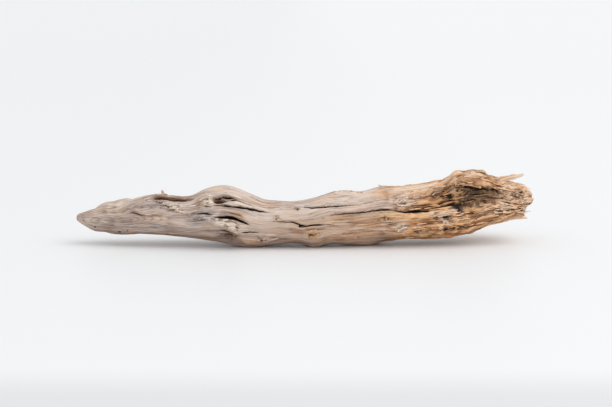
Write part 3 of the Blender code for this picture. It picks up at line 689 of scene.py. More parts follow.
def folds(x, turn, radius):
    """Height of the broad ridges and hollows."""
    total = np.zeros_like(x)
    for path, width, height in FOLDS:
        across, fade = across_path(path, x, turn, radius)
        total += height * fade * np.exp(-((across / width) ** 2))
    return total


def ragged_edge(x, seed):
    """How far a torn edge strays from its path, by x."""
    return sum(wave(kind, x, seed) for kind in RAGGED)


def torn_layers(x, turn, radius):
    """Height of the torn layers, how far their edges hang over, their pale edge, and the painted shadow line
    under it.
    """
    height, hang, pale, dark = (np.zeros_like(x) for _ in range(4))
    for i, (path, width, rise, over, paleness) in enumerate(STEPS):
        across, fade = across_path(path, x, turn, radius)
        side = math.copysign(1, width)
        inside = (across + 1.5 * ragged_edge(x, STEP_SEED + i)) * side
        height += rise * fade * np.exp(-((inside / width) ** 2)) * ease(-0.4, 0.2, inside)
        hang -= side * over * fade * np.exp(-(((inside - 0.6) / 0.7) ** 2))
        pale = np.maximum(pale, paleness * fade * np.exp(-(((inside - 0.25) / 0.75) ** 2)))
        # Painted shadow: a dark line just under each torn edge
        dark = np.maximum(dark, min(1, rise) * fade * np.exp(-(((inside + 0.8) / 0.45) ** 2)))
    return height, hang, pale, dark


def cracks(table, x, turn, radius):
    """Depth of the cracks of a table, each open to an uneven width."""
    total = np.zeros_like(x)
    for i, (path, width, depth) in enumerate(table):
        across, fade = across_path(path, x, turn, radius)
        across = across + 0.6 * ragged_edge(x, CRACK_SEED + i)
        half_width = np.maximum(width * fade * (0.9 + wave(CRACK_OPENING, x, i)), 0.05)
        total = np.maximum(total, depth * fade * np.clip(1 - np.abs(across) / half_width, 0, 1))
    return total


def knots(x, turn, radius):
    """Swellings round the knots, with the holes in them."""
    total = np.zeros_like(x)
    for *at, size, height, hole, depth in KNOTS:
        away = np.hypot(*offsets(x, turn, radius, at))
        total += height * np.exp(-((away / size) ** 2))
        if hole:
            total -= depth * ease(1.3, 0.4, away / hole)
    return total


def pits(x, turn, radius):
    """Depth of the small pits and beetle holes."""
    total = np.zeros_like(x)
    for *at, size, depth in PITS:
        along, around = offsets(x, turn, radius, at)
        total = np.maximum(total, depth * ease(1.2, 0.5, np.hypot(along / 1.3, around) / size))
    return total


def hollows(x, turn, radius):
    """Depth of the scooped hollows, with ragged rims."""
    ragged = lumps(HOLLOW_RIM, x, turn)
    total = np.zeros_like(x)
    for *at, length, width, depth in HOLLOWS:
        along, around = offsets(x, turn, radius, at)
        total = np.maximum(total, depth * ease(1.2, 0.5, np.hypot(along / length, around / width) + ragged))
    return total


def spots(table, x, turn, radius, stray=0):
    """How strongly soft spots cover each place, moved round the log by a stray."""
    total = np.zeros_like(x)
    for *at, length, width, strength in table:
        along, around = offsets(x, turn, radius, at)
        away = (along / length) ** 2 + ((around + stray) / width) ** 2
        total = np.maximum(total, strength * np.exp(-away))
    return total


def patches(table, x, turn, radius):
    """How strongly patches of colour cover each place, with ragged edges drawn out along the grain."""
    slid = x + relief(PATCH_SLIDE, x, turn)
    return spots(table, slid, turn, radius, relief(PATCH_STRAY, slid, turn))


def crumple(x, turn, radius):
    """Granular relief of the crumpled spots."""
    return spots(CRUMPLED, x, turn, radius) * sum(lumps(kind, x, turn) for kind in CRUMPLE)


def pocket_edges(x, turn):
    """Lower edge, upper edge and depth of the rotten pocket at x, and the turn in degrees."""
    low, high, depth = (smooth_curve(p, x) for p in (POCKET_LOW, POCKET_HIGH, POCKET_DEPTH))
    high = high + wave(POCKET_RIM, x)
    depth = np.clip(depth * (1 + lumps(POCKET_LUMPS, x, turn)), 0, None)
    return low, high, depth, np.degrees(turned_from(turn))


def shelf_and_pocket(x, turn):
    """The shelf's height over the log, and the pocket's depth below it."""
    low, high, depth, degrees = pocket_edges(x, turn)
    inside = ease(low - 4, low + 12, degrees) * ease(high + 1.5, high - 2.5, degrees)
    under = np.clip(smooth_curve(UNDERCUT, x), 0, None) * ease(high - 9, high - 5, degrees)
    height = np.where((x > 115) & (x < 160), smooth_curve(SHELF_HEIGHT, x), 0)
    shelf = height * np.exp(-(((degrees - SHELF_TURN) / SHELF_HALF_TURN) ** 2))
    return shelf, (depth + under) * inside


def lip(x, turn):
    """How far the shelf's ragged lower edge hangs over the pocket, from 0 to 1."""
    _, high, _, degrees = pocket_edges(x, turn)
    ragged = 0.85 + wave(LIP_RIM, x)
    along = ease(115, 122, x) * ease(160, 150, x)
    return along * ragged * np.exp(-(((degrees - high - 5) / 5.5) ** 2))


def weathering(x, turn):
    """Flutes, furrows and fibres that wander round the log, rougher and crumbly towards the broken end."""
    turn = turn + relief(WANDER, x, turn)
    rough = 1 + 0.9 * ease(80, 150, x)
    furrows = relief(FURROWS, x, turn) + relief(FIBRES, x, turn)
    crumb_height = 0.8 * ease(95, 140, x) + 0.9 * ease(150, 180, x)
    middle = 1 - 0.5 * ease(-45, -20, x) * ease(90, 60, x)
    flutes = relief(FLUTES, x, turn) * middle
    return flutes + rough * middle * furrows + relief(CRUMBS, x, turn) * crumb_height


def fibre_turn(x, turn, radius):
    """The turn of the fibre that passes a place: fibres wander, and part round the knots."""
    fibre = turn + relief(WANDER, x, turn) + relief(FIBRE_STRAY, x, turn)
    for knot_x, knot_turn, size, *_ in KNOTS:
        away = turned_from(turn, math.radians(knot_turn))
        near = np.exp(-(((x - knot_x) / (1.9 * size)) ** 2) - (away * radius / (1.3 * size)) ** 2)
        fibre = fibre - 0.75 * away * near
    return fibre


def rottenness(x, turn):
    """0 on sound wood, and up to 1 where the broken end crumbles."""
    _, pocket = shelf_and_pocket(x, turn)
    spread = 0.45 * ease(90, 130, x) * (0.5 + relief(ROT_PATCHES, x, turn))
    front = ease(-80, -20, np.degrees(turned_from(turn, math.radians(20))))
    return np.clip(ease(1, 6, pocket) + ease(150, 182, x) + spread * front, 0, 1)


def terraces(height):
    """Turns a slope into flat layers with steep broken edges."""
    whole = np.floor(height)
    return whole + ease(0.72, 1.0, height - whole)


def fine_relief(x, turn, radius):
    """The eroded grain, its checks and pits, the fibre's turn and how smooth the wood is."""
    fibre = fibre_turn(x, turn, radius)
    right = ease(55, 120, x)
    soft = rottenness(x, turn)
    calm = np.clip(spots(CALM, x, turn, radius), 0, 1)
    depth = (0.34 + 0.06 * ease(-100, -20, x) + 0.42 * right) * (1 - 0.6 * calm)
    ridges = np.abs(relief(RIDGES, x, fibre)) - 0.3
    fine = np.abs(relief(FINE_RIDGES, x, fibre)) - 0.15
    line = np.abs(relief(CHECK_LINES, x, fibre))
    patch = ease(0, 0.35, relief(CHECK_PATCHES, x, fibre) + 0.3 * right - 0.3 * calm)
    checks = (0.6 + 0.9 * right) * patch * np.clip(1 - line / 0.08, 0, 1)
    sheets, chips = relief(LAYERS, x, fibre), relief(CHIPS, x, fibre)
    layers = (0.3 + 0.9 * right) * (terraces(sheets) - sheets) + 0.8 * right * (terraces(chips) - chips)
    layers = layers * (1 - 0.7 * calm) * (1 - 0.5 * ease(150, 168, x))
    grit = sum(lumps(kind, x, turn) for kind in GRIT)
    grain = depth * (ridges + fine) * (1 - 0.5 * soft) + soft * (1 - 0.6 * calm) * grit
    grain = grain + layers + 0.3 * right + crumple(x, turn, radius)
    holes = np.maximum(cracks(FINE_CRACKS, x, turn, radius), pits(x, turn, radius))
    return grain, np.maximum(checks, holes), fibre, calm


def log_surface(x, turn):
    """Everything about the log's skin at x and turn: its place, its grain, and the grain's height, which
    marks wear and lays painted shade in furrows and painted highlights on ridges.
    """
    middle_z, half_z, middle_y, half_y = section(x)
    radius = (half_z + half_y) / 2
    slenderness = ease(0, 14, radius)
    shelf, pocket = shelf_and_pocket(x, turn)
    scooped = hollows(x, turn, radius)
    main_cracks = cracks(CRACKS, x, turn, radius)
    torn, hang, pale, dark = torn_layers(x, turn, radius)
    broad = folds(x, turn, radius) + torn + knots(x, turn, radius) + shelf - scooped
    grain, holes, fibre, calm = fine_relief(x, turn, radius)
    over = lip(x, turn)
    swelling = broad + weathering(x, turn) - main_cracks + grain - holes + LIP_OUT * over
    moved = turn + slenderness * (hang - LIP_DOWN * over) / np.maximum(radius, 6)
    out_y, out_z = -half_y * np.cos(moved), half_z * np.sin(moved)
    scale = 1 + slenderness * swelling / np.maximum(np.hypot(out_y, out_z), 1)
    # Painted shade: near black in cracks, pits and scooped hollows, and deep in the pocket under the lip
    deep = np.maximum(main_cracks / 2.1 + holes / 1.6, scooped / 6) + np.clip((pocket - 12) / 7, 0, 0.7)
    return {
        "y": middle_y + scale * out_y + slenderness * pocket,
        "z": middle_z + scale * out_z,
        "radius": radius,
        "ring": whorls(x, turn, radius),
        # The grain's height: its furrows take wear and painted shade, its ridges bleaching and painted
        # highlights
        "worn": grain / (1 + 0.7 * ease(55, 120, x) + 0.8 * ease(150, 175, x)),
        # Painted shade, also along the dark line under the torn edges, fainter towards the broken end
        "crevice_shade": np.clip(np.maximum(deep, (0.75 - 0.35 * ease(60, 100, x)) * dark), 0, 1),
        "pale": pale * (1 - 0.5 * ease(60, 110, x)),
        "calm": calm,
        "fibre": fibre,
    }


def whorls(x, turn, radius):
    """Distance in millimetres from the nearest whorl of the growth rings, or 0 away from all."""
    stray = relief(WHORL_STRAY, x, turn)
    total = np.zeros_like(x)
    for *at, stretch, size in WHORLS:
        along, around = offsets(x, turn, radius, at)
        away = np.hypot(along / stretch, around) + stray
        total = np.where(away < size, away, total)
    return total


def edge_lines(table, x, turn, radius):
    """How strongly lines of colour cover each place."""
    stray = relief(LINE_STRAY, x, turn)
    total = np.zeros_like(x)
    for path, width, strength in table:
        across, fade = across_path(path, x, turn, radius)
        total = np.maximum(total, strength * fade * np.exp(-(((across + stray) / width) ** 2)))
    return total


def wood_colours(x, turn, skin):
    """The shares of each colour of wood over the log, and of the painted shade on its belly and the lower
    front of its middle.
    """
    radius = skin["radius"]
    degrees = np.degrees(turned_from(turn))
    warm = ease(30, 95, x + relief(TAN_STRAY, x, turn) - 0.25 * np.maximum(degrees, 0))
    _, pocket = shelf_and_pocket(x, turn)
    cream = np.maximum(patches(CREAM, x, turn, radius), edge_lines(CREAM_LINES, x, turn, radius))
    cream = np.maximum(cream, skin["pale"])
    brown = np.maximum(patches(BROWN, x, turn, radius), edge_lines(BROWN_LINES, x, turn, radius))
    # Rot fills the pocket, darkest where it is deepest: rotten wood, and painted shade in the recess
    in_pocket = ease(3.5, 7.5, pocket) * ease(118, 130, x) * ease(166, 158, x)
    rot = np.maximum(patches(ROT, x, turn, radius), 0.8 * in_pocket)
    # Painted shade: the belly, and the lower front of the middle, are darkened as if the light fell from
    # above
    belly = ease(-20, -75, degrees) * ease(-150, -110, degrees)
    low_middle = ease(-50, -25, x) * ease(95, 70, x) * ease(45, 15, degrees)
    return {
        "tan": np.clip(np.maximum(warm, patches(TAN, x, turn, radius)), 0, 1),
        # Brown deepens where the pocket is deepest: brown wood, and painted shade in the recess
        "brown": np.clip(np.maximum(brown, 0.45 * ease(5, 9, pocket)), 0, 1),
        "cream": np.clip(cream * (1 - 0.8 * ease(0.5, 1, rot)), 0, 1.2),
        "silver": np.clip(patches(SILVER, x, turn, radius), 0, 1),
        "rot": np.clip(rot, 0, 1),
        "calm": skin["calm"],
        "granular": np.clip(spots(CRUMPLED, x, turn, radius), 0, 1),
        # Painted shade on the belly and the lower front of the middle
        "shade": belly + 0.45 * low_middle,
    }


def in_frame(x, y, z):
    """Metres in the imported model's frame, from millimetres along, across and up."""
    return np.stack((x - MIDDLE_OF_BOX_X, y - MIDDLE_OF_BOX_Y, z), axis=-1) * MM


def deselect():
    """Leaves edit mode, and selects nothing."""
    if bpy.context.object and bpy.context.object.mode != "OBJECT":
        bpy.ops.object.mode_set(mode="OBJECT")
    bpy.ops.object.select_all(action="DESELECT")


def places_of(mesh):
    """The places of a mesh's points, as an array."""
    flat = np.empty(3 * len(mesh.vertices))
    mesh.vertices.foreach_get("co", flat)
    return flat.reshape(-1, 3)


def move_points(mesh, places):
    """Puts a mesh's points at new places."""
    mesh.vertices.foreach_set("co", np.ascontiguousarray(places, np.float32).ravel())
    mesh.update()


def paint(mesh, name, values):
    """Stores a number or a vector for each point of a mesh."""
    kind, key = ("FLOAT_VECTOR", "vector") if np.ndim(values) == 2 else ("FLOAT", "value")
    layer = mesh.attributes.new(name, kind, "POINT")
    layer.data.foreach_set(key, np.ascontiguousarray(values, np.float32).ravel())


def grain_space(x, fibre):
    """Coordinates that follow the grain: along the log, and round it with no seam."""
    return np.stack((x, GRAIN_RADIUS * np.cos(fibre), GRAIN_RADIUS * np.sin(fibre)), axis=-1) * MM


def close_mesh(piece):
    """Merges a piece's doubled points, and points its faces outwards."""
    deselect()
    piece.select_set(True)
    bpy.context.view_layer.objects.active = piece
    bpy.ops.object.mode_set(mode="EDIT")
    bpy.ops.mesh.select_all(action="SELECT")
    bpy.ops.mesh.remove_doubles(threshold=MERGE_DISTANCE)
    bpy.ops.mesh.normals_make_consistent(inside=False)
    bpy.ops.object.mode_set(mode="OBJECT")


def finish_piece(piece, name):
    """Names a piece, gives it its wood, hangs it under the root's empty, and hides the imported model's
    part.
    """
    piece.name = piece.data.name = name
    piece.data.materials.clear()
    piece.data.materials.append(driftwood_material())
    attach(piece, "root")
    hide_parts(NODE)


def ring_places():
    """Places of the log's rings along x, closer together where the wood is broken."""
    places = [TIP_X]
    while places[-1] < BREAK_X:
        places.append(places[-1] + float(smooth_curve(RING_SPACING, np.array([places[-1]]))[0]))
    return np.array(places)


def break_edge(turn):
    """The x at which the fibres break off, by turn, and how far the torn ones reach past it."""
    degrees = np.degrees(turned_from(turn))
    ragged = sum(relief(kind, 0 * turn, turn) for kind in TORN_RIM)
    return smooth_curve(BREAK_EDGE, degrees), ragged


def side_places(turns):
    """x of each ring and turn of the log's side: the last rings follow the broken edge."""
    x = np.tile(ring_places()[:, None], (1, len(turns)))
    turn = np.tile(turns, (len(x), 1))
    share = np.clip((x - BREAK_STARTS_X) / (x[-1] - BREAK_STARTS_X), 0, 1)
    edge, ragged = break_edge(turn)
    stretched = BREAK_STARTS_X + share * (edge - BREAK_STARTS_X)
    return np.where(share > 0, stretched + ragged * share**4, x), turn, edge[-1]


def broken_face(rim, edge):
    """Rings that close the broken end, with the pits and steps of torn fibres."""
    middle = rim.mean(axis=0)
    rings = []
    for k in range(1, CAP_RINGS + 1):
        size = 1 - k / CAP_RINGS
        ring = middle + size * (rim - middle)
        torn = sum(
            height * noise(0 * edge, ring[:, 1] / length, ring[:, 2] / length, seed)
            for height, length, seed in FACE_RELIEF
        ) - FACE_SINK
        slanted = middle[0] + size * (edge - middle[0])
        ring[:, 0] = slanted + size**8 * (rim[:, 0] - edge) + ease(0, 0.3, 1 - size) * torn
        if size == 0:
            ring[:] = ring.mean(axis=0)
        rings.append(ring)
    return np.array(rings)


class DriftwoodShape(bpy.types.PropertyGroup):
    """How fine the log's mesh is, and how many small pieces lie on it"""

    columns: IntProperty(
        name="Columns", description="Points round the log", default=222, min=60, max=320,
    )
    splinters: IntProperty(
        name="Torn fibres", description="Short fibres round the broken end", default=46, min=0, max=300,
    )
    slivers: IntProperty(
        name="Slivers", description="Half-torn slivers along the grain", default=520, min=0, max=3000,
    )
    crumbs: IntProperty(
        name="Crumbs", description="Crumbs of rot in the pocket and on the broken end", default=420,
        min=0, max=2000,
    )
    flake_thickness: FloatProperty(
        name="Flake thickness", description="Thickness of the lifted flakes", default=0.0006,
        unit="LENGTH", subtype="DISTANCE",
    )


def colour_setting(name, description, default):
    """A colour that a user can change."""
    return FloatVectorProperty(
        name=name, description=description, default=default, subtype="COLOR", size=3, min=0, max=1,
    )


class DriftwoodColours(bpy.types.PropertyGroup):
    """The colours of the wood"""

    beige: colour_setting("Beige", "Sun-bleached wood", (0.78, 0.64, 0.557))
    taupe: colour_setting("Taupe", "Darker streaks of the bleached wood", (0.44, 0.335, 0.28))
    silver: colour_setting("Silver", "Wood gone grey", (0.50, 0.455, 0.45))
    slate: colour_setting("Slate", "Darker streaks of the grey wood", (0.27, 0.235, 0.225))
    tan: colour_setting("Tan", "Warm wood towards the broken end", (0.97, 0.55, 0.255))
    umber: colour_setting("Umber", "Darker streaks of the warm wood", (0.52, 0.225, 0.09))
    straw: colour_setting("Straw", "Pale fibres of the warm wood", (0.98, 0.73, 0.45))
    # Painted shade laid in the small gaps between fibres
    gap: colour_setting("Gap", "Gaps between the fibres of the warm wood", (0.13, 0.05, 0.02))
    brown: colour_setting("Brown", "Stained wood", (0.31, 0.12, 0.047))
    stain: colour_setting("Stain", "Darker streaks of the stained wood", (0.09, 0.036, 0.016))
    cream: colour_setting("Cream", "Freshly torn wood", (0.95, 0.83, 0.72))
    torn: colour_setting("Torn", "Darker streaks of the torn wood", (0.66, 0.47, 0.36))
    rot: colour_setting("Rot", "Dark rot in the pocket", (0.07, 0.045, 0.03))
    dry_rot: colour_setting("Dry rot", "Paler spots of the rot", (0.2, 0.125, 0.085))
    # Painted shade: the near-black colour laid into cracks, pits, hollows, the deep pocket and under torn
    # edges
    crack: colour_setting("Crack", "The inside of a crack", (0.022, 0.012, 0.008))


class DriftwoodStage(bpy.types.PropertyGroup):
    """The table, the light and the lens"""

    table: colour_setting("Table", "Pale table top", (0.90, 0.905, 0.91))
    sky: FloatProperty(name="Fill light", description="Strength of the light all round", default=0.76)
    key: FloatProperty(name="Key light", description="Strength of the light from above", default=1.3)
    softness: FloatProperty(
        name="Softness", description="How wide the key light looks", default=math.radians(56),
        unit="ROTATION", subtype="ANGLE",
    )
    lens: FloatProperty(
        name="Lens", description="Focal length in millimetres", default=85, min=20, max=300,
    )


class Graph:
    """Adds and links the nodes of one material."""

    def __init__(self, name):
        self.material = bpy.data.materials.new(name)
        self.material.use_nodes = True
        self.tree = self.material.node_tree
        self.shader = self.tree.nodes["Principled BSDF"]
        self.count = 0

    def add(self, kind, inputs, output=0, **settings):
        """A node with its settings and inputs, each a value or another node's output."""
        made = self.tree.nodes.new(kind)
        made.location = (-2600 + 200 * (self.count % 12), 600 - 320 * (self.count // 12))
        self.count += 1
        for key, value in settings.items():
            setattr(made, key, value)
        for key, value in inputs.items():
            if isinstance(value, bpy.types.NodeSocket):
                self.tree.links.new(value, made.inputs[key])
            else:
                made.inputs[key].default_value = value
        return made.outputs[output]

    def attribute(self, name, output="Fac"):
        """What is painted on the piece under a name."""
        return self.add("ShaderNodeAttribute", {}, output, attribute_name=name)

    def grain(self, along, across, detail, rough, warp, shift):
        """Noise with so many bumps to a metre along the grain and across it."""
        place = self.add(
            "ShaderNodeMapping",
            {"Vector": self.attribute("grain", "Vector"), "Scale": (along, across, across),
             "Location": (shift, shift, shift)},
        )
        return self.add(
            "ShaderNodeTexNoise",
            {"Vector": place, "Scale": 1.0, "Detail": detail, "Roughness": rough, "Distortion": warp},
            "Fac",
        )

    def between(self, value, low, high, to_low=0.0, to_high=1.0):
        """Eases a value from one range to another, and stops at its ends."""
        return self.add(
            "ShaderNodeMapRange",
            {"Value": value, "From Min": low, "From Max": high, "To Min": to_low, "To Max": to_high},
            "Result", interpolation_type="SMOOTHSTEP",
        )

    def maths(self, operation, a, b=0.0):
        """Two numbers put together."""
        return self.add("ShaderNodeMath", {0: a, 1: b}, operation=operation)

    def product(self, *values):
        """Numbers multiplied, in their order."""
        total, *others = values
        for value in others:
            total = self.maths("MULTIPLY", total, value)
        return total

    def object_place(self):
        """The place on the piece, in metres."""
        return self.add("ShaderNodeTexCoord", {}, "Object")

    def mix(self, share, a, b, mode="MIX"):
        """Two colours mixed."""
        return self.add(
            "ShaderNodeMix", {0: share, 6: a, 7: b}, 2, data_type="RGBA", blend_type=mode,
        )


def opaque(colour):
    """A colour with nothing of it see-through."""
    return (*colour, 1.0)


def darken(graph, colour, share, amount):
    """A colour made darker by an amount, where share is 1."""
    dim = (1 - 0.86 * amount, 1 - amount, max(0.02, 1 - 1.08 * amount), 1.0)
    return graph.mix(share, colour, graph.mix(1.0, colour, dim, "MULTIPLY"))


def bleached_wood(graph, grain, streak):
    """Sun-bleached wood with darker streaks, and silver grey where that is painted."""
    colours = bpy.context.scene.driftwood_colours
    bleached = graph.mix(streak, opaque(colours.taupe), opaque(colours.beige))
    bleached = graph.mix(graph.between(grain["broad"], 0.4, 0.7, 0.0, 0.5), bleached, opaque(colours.beige))
    bleached = graph.mix(graph.between(grain["mottle"], 0.5, 0.7, 0.0, 0.35), bleached, opaque(colours.tan))
    silver_streak = graph.between(grain["streaks"], 0.34, 0.6)
    silver = graph.mix(silver_streak, opaque(colours.slate), opaque(colours.silver))
    share = graph.product(graph.attribute("silver"), graph.between(grain["mottle"], 0.34, 0.52, 0.15, 0.9))
    return graph.mix(share, bleached, silver)


def warm_wood(graph, grain):
    """Tan wood with umber streaks, straw fibres and painted shade in the gaps between them."""
    colours = bpy.context.scene.driftwood_colours
    tan_streak = graph.between(grain["streaks"], 0.34, 0.56)
    tan = graph.mix(tan_streak, opaque(colours.umber), opaque(colours.tan))
    tan = graph.mix(graph.between(grain["broad"], 0.45, 0.68, 0.0, 0.6), tan, opaque(colours.straw))
    # Painted shade in the small gaps between the fibres
    return graph.mix(graph.between(grain["gaps"], 0.4, 0.33, 0.0, 0.8), tan, opaque(colours.gap))


def stained_wood(graph, grain, wood, streak, warm):
    """Wood with brown stains, freshly torn cream edges, rot, painted shade on its belly and the lower front
    of its middle, and flecks.
    """
    colours = bpy.context.scene.driftwood_colours
    brown = graph.mix(streak, opaque(colours.stain), opaque(colours.brown))
    wood = graph.mix(graph.product(graph.attribute("brown"), 0.85), wood, brown)
    edge = graph.mix(warm, opaque(colours.torn), opaque(colours.tan))
    cream = graph.mix(graph.between(grain["streaks"], 0.3, 0.5), edge, opaque(colours.cream))
    share = graph.product(graph.attribute("cream"), graph.between(grain["mottle"], 0.3, 0.48, 0.5, 1.0))
    wood = graph.mix(share, wood, cream)
    spotted = graph.between(grain["mottle"], 0.38, 0.62)
    rot = graph.mix(spotted, opaque(colours.rot), opaque(colours.dry_rot))
    wood = graph.mix(graph.attribute("rot"), wood, rot)
    # Painted shade: darkens the wood where the belly's and lower middle's shade is painted
    wood = darken(graph, wood, graph.between(graph.attribute("shade"), 0.0, 1.0), 0.35)
    return graph.mix(graph.between(grain["flecks"], 0.66, 0.74, 0.0, 0.7), wood, opaque(colours.brown))


def worn_wood(graph, wood, warm):
    """Wood with growth rings, furrows darkened by wear and painted shade, ridges paled by bleaching and
    painted highlights, and grit on its crumpled spots.
    """
    colours = bpy.context.scene.driftwood_colours
    ring = graph.attribute("ring")
    wave_of_rings = graph.maths("SINE", graph.product(ring, 5.0))
    share = graph.product(graph.between(wave_of_rings, 0.1, 1.0, 0.0, 0.8), graph.between(ring, 0.05, 0.4))
    wood = darken(graph, wood, share, 0.34)
    worn = graph.attribute("worn")
    # Painted shade in the grain's furrows, along with their wear
    wood = darken(graph, wood, graph.between(worn, 0.02, -0.45), 0.6)
    ridge = graph.mix(warm, opaque(colours.cream), opaque(colours.straw))
    # Painted highlight on the grain's ridges, along with their bleaching
    wood = graph.mix(graph.between(worn, 0.08, 0.6, 0.0, 0.6), wood, ridge)
    grains = graph.add(
        "ShaderNodeTexNoise",
        {"Vector": graph.object_place(), "Scale": 620.0, "Detail": 3.0, "Roughness": 0.6}, "Fac",
    )
    granular = graph.attribute("granular")
    wood = graph.mix(graph.product(granular, graph.between(grains, 0.53, 0.66)), wood, ridge)
    return darken(graph, wood, graph.product(granular, graph.between(grains, 0.46, 0.36)), 0.55)


def driftwood_material():
    """Weathered wood: bleached, silvered, tan, torn and rotten by the shares painted on each piece."""
    found = bpy.data.materials.get(WOOD)
    if found:
        return found
    graph = Graph(WOOD)
    grain = {name: graph.grain(*pattern) for name, pattern in GRAIN_PATTERNS.items()}
    calm = graph.attribute("calm")
    spread = graph.between(calm, 0.0, 1.0, 1.0, 0.5)
    streak = graph.product(graph.between(grain["streaks"], 0.36, 0.62), spread)
    streak = graph.maths("ADD", streak, graph.between(calm, 0.0, 1.0, 0.0, 0.45))
    warm = graph.product(graph.attribute("tan"), graph.between(grain["mottle"], 0.25, 0.45, 0.8, 1.0))
    wood = graph.mix(warm, bleached_wood(graph, grain, streak), warm_wood(graph, grain))
    wood = stained_wood(graph, grain, wood, streak, warm)
    wood = worn_wood(graph, wood, warm)

    off_line = graph.maths("ABSOLUTE", graph.maths("SUBTRACT", grain["long_lines"], 0.5))
    cracked = graph.between(grain["mottle"], 0.4, 0.54)
    hair_cracks = graph.product(graph.between(off_line, 0.016, 0.003), cracked, spread)
    wood = darken(graph, wood, hair_cracks, 0.75)
    hairs = graph.product(graph.between(grain["hairs"], 0.5, 0.3, 0.0, 0.8), spread)
    wood = darken(graph, wood, hairs, 0.42)
    holes = graph.add(
        "ShaderNodeTexVoronoi", {"Vector": graph.object_place(), "Scale": 75.0, "Randomness": 1.0},
        "Distance",
    )
    wood = darken(graph, wood, graph.between(holes, 0.05, 0.036), 0.75)
    # Painted shade: the near-black crack colour fills cracks, pits, hollows, the deep pocket and the lines
    # under torn edges
    inside = opaque(bpy.context.scene.driftwood_colours.crack)
    wood = graph.mix(graph.between(graph.attribute("crevice_shade"), 0.2, 0.95), wood, inside)

    height = graph.maths("ADD", grain["streaks"], graph.product(grain["hairs"], 0.45))
    height = graph.maths("ADD", height, graph.product(grain["mottle"], 0.5))
    height = graph.maths("SUBTRACT", height, graph.product(hair_cracks, 0.8))
    bump = graph.add("ShaderNodeBump", {"Height": height, "Strength": 0.55, "Distance": 0.0007}, "Normal")
    shader = graph.shader
    graph.tree.links.new(wood, shader.inputs["Base Color"])
    graph.tree.links.new(graph.between(grain["streaks"], 0.3, 0.7, 0.92, 0.74), shader.inputs["Roughness"])
    graph.tree.links.new(bump, shader.inputs["Normal"])
    shader.inputs["Specular IOR Level"].default_value = 0.18
    return graph.material


class DRIFTWOOD_OT_log(bpy.types.Operator):
    """Rolls a fine grid into the weathered log"""

    bl_idname = "driftwood.add_log"
    bl_label = "Log"

    def execute(self, context):
        columns = context.scene.driftwood_shape.columns
        spread = np.linspace(-math.pi, math.pi, columns + 1)
        fine = math.radians(FINE_TURN)
        turns = spread + fine - FINE_CROWDING * np.sin(spread)
        x, turn, edge = side_places(turns)
        skin = log_surface(x, turn)
        shares = wood_colours(x, turn, skin)
        sides = np.stack((x, skin["y"], skin["z"]), axis=-1)
        rings = np.concatenate((sides, broken_face(sides[-1], edge)))
        rings[0] = rings[0].mean(axis=0)
        rings[..., 2] = np.maximum(rings[..., 2], 0)

        deselect()
        bpy.ops.mesh.primitive_grid_add(
            x_subdivisions=len(rings) - 1, y_subdivisions=columns, size=2,
        )
        log = context.object
        mesh = log.data
        flat = (places_of(mesh)[:, :2] + 1) / 2
        row = np.rint(flat[:, 0] * (len(rings) - 1)).astype(int)
        column = np.rint(flat[:, 1] * columns).astype(int)
        place = rings[row, column]
        move_points(mesh, in_frame(*place.T))

        skin_row = np.minimum(row, len(x) - 1)
        fibre = skin["fibre"][skin_row, column]
        inward = np.where(row < len(x), 0, row - len(x) + 1)
        grain = grain_space(place[:, 0], fibre)
        grain[inward > 0] = 0.8 * MM * place[inward > 0]
        paint(mesh, "grain", grain)
        paint(mesh, "ring", skin["ring"][skin_row, column] - 1.3 * inward)
        paint(mesh, "worn", skin["worn"][skin_row, column])
        # Painted shade of the crevices, on the side and on the broken face's rim
        paint(mesh, "crevice_shade", skin["crevice_shade"][skin_row, column] * (inward < 2))
        for name, share in shares.items():
            paint(mesh, name, share[skin_row, column])
        close_mesh(log)
        bpy.ops.object.shade_smooth()
        finish_piece(log, "weathered_log")
        return {"FINISHED"}


def cut_along(mesh, cuts):
    """Cuts the long edges of the cylinder that is being worked on into equal lengths."""
    for edge in mesh.edges:
        a, b = (mesh.vertices[i].co.z for i in edge.vertices)
        edge.select = abs(a - b) > 0.5
    mesh.vertices.foreach_set("select", [False] * len(mesh.vertices))
    mesh.polygons.foreach_set("select", [False] * len(mesh.polygons))
    bpy.ops.object.mode_set(mode="EDIT")
    bpy.ops.mesh.select_mode(type="EDGE")
    bpy.ops.mesh.subdivide(number_cuts=cuts)
    bpy.ops.object.mode_set(mode="OBJECT")


def add_splinter(root, tip, radius, flatness, fineness, seed):
    """A splinter from root to tip in millimetres: tapered, ribbed along its length and torn at the tip."""
    draw = random.Random(seed)
    sides, cuts = fineness
    deselect()
    bpy.ops.mesh.primitive_cylinder_add(vertices=sides, radius=1, depth=1, end_fill_type="TRIFAN")
    piece = bpy.context.object
    mesh = piece.data
    cut_along(mesh, cuts)
    local = places_of(mesh)
    share = local[:, 2] + 0.5
    around = np.arctan2(local[:, 1], local[:, 0])
    rib = 1 + 0.22 * np.cos(3 * around + draw.uniform(0, 6)) + 0.12 * np.cos(5 * around + draw.uniform(0, 6))
    knobbly = 1 + 0.18 * noise(share * 5 + seed, np.cos(around), np.sin(around), 5)
    taper = radius * (0.4 + 0.6 * (1 - share) ** 0.8) * rib * knobbly
    root, tip = Vector(root), Vector(tip)
    length = (tip - root).length
    torn = ease(0.85, 1.0, share) * 0.12 * np.cos(2 * around + draw.uniform(0, 6))
    bend = 0.035 * length * np.sin(math.pi * share)
    local = np.stack(
        (local[:, 0] * taper * flatness + bend, local[:, 1] * taper, (share + torn) * length), axis=-1,
    )
    turn = np.array((tip - root).to_track_quat("Z", "X").to_matrix())
    placed = local @ turn.T + np.array(root)
    move_points(mesh, in_frame(*placed.T))
    fibre = around + draw.uniform(0, 6)
    paint(mesh, "grain", grain_space(share * length + 7 * seed, 0.12 * fibre + seed))
    return piece, share


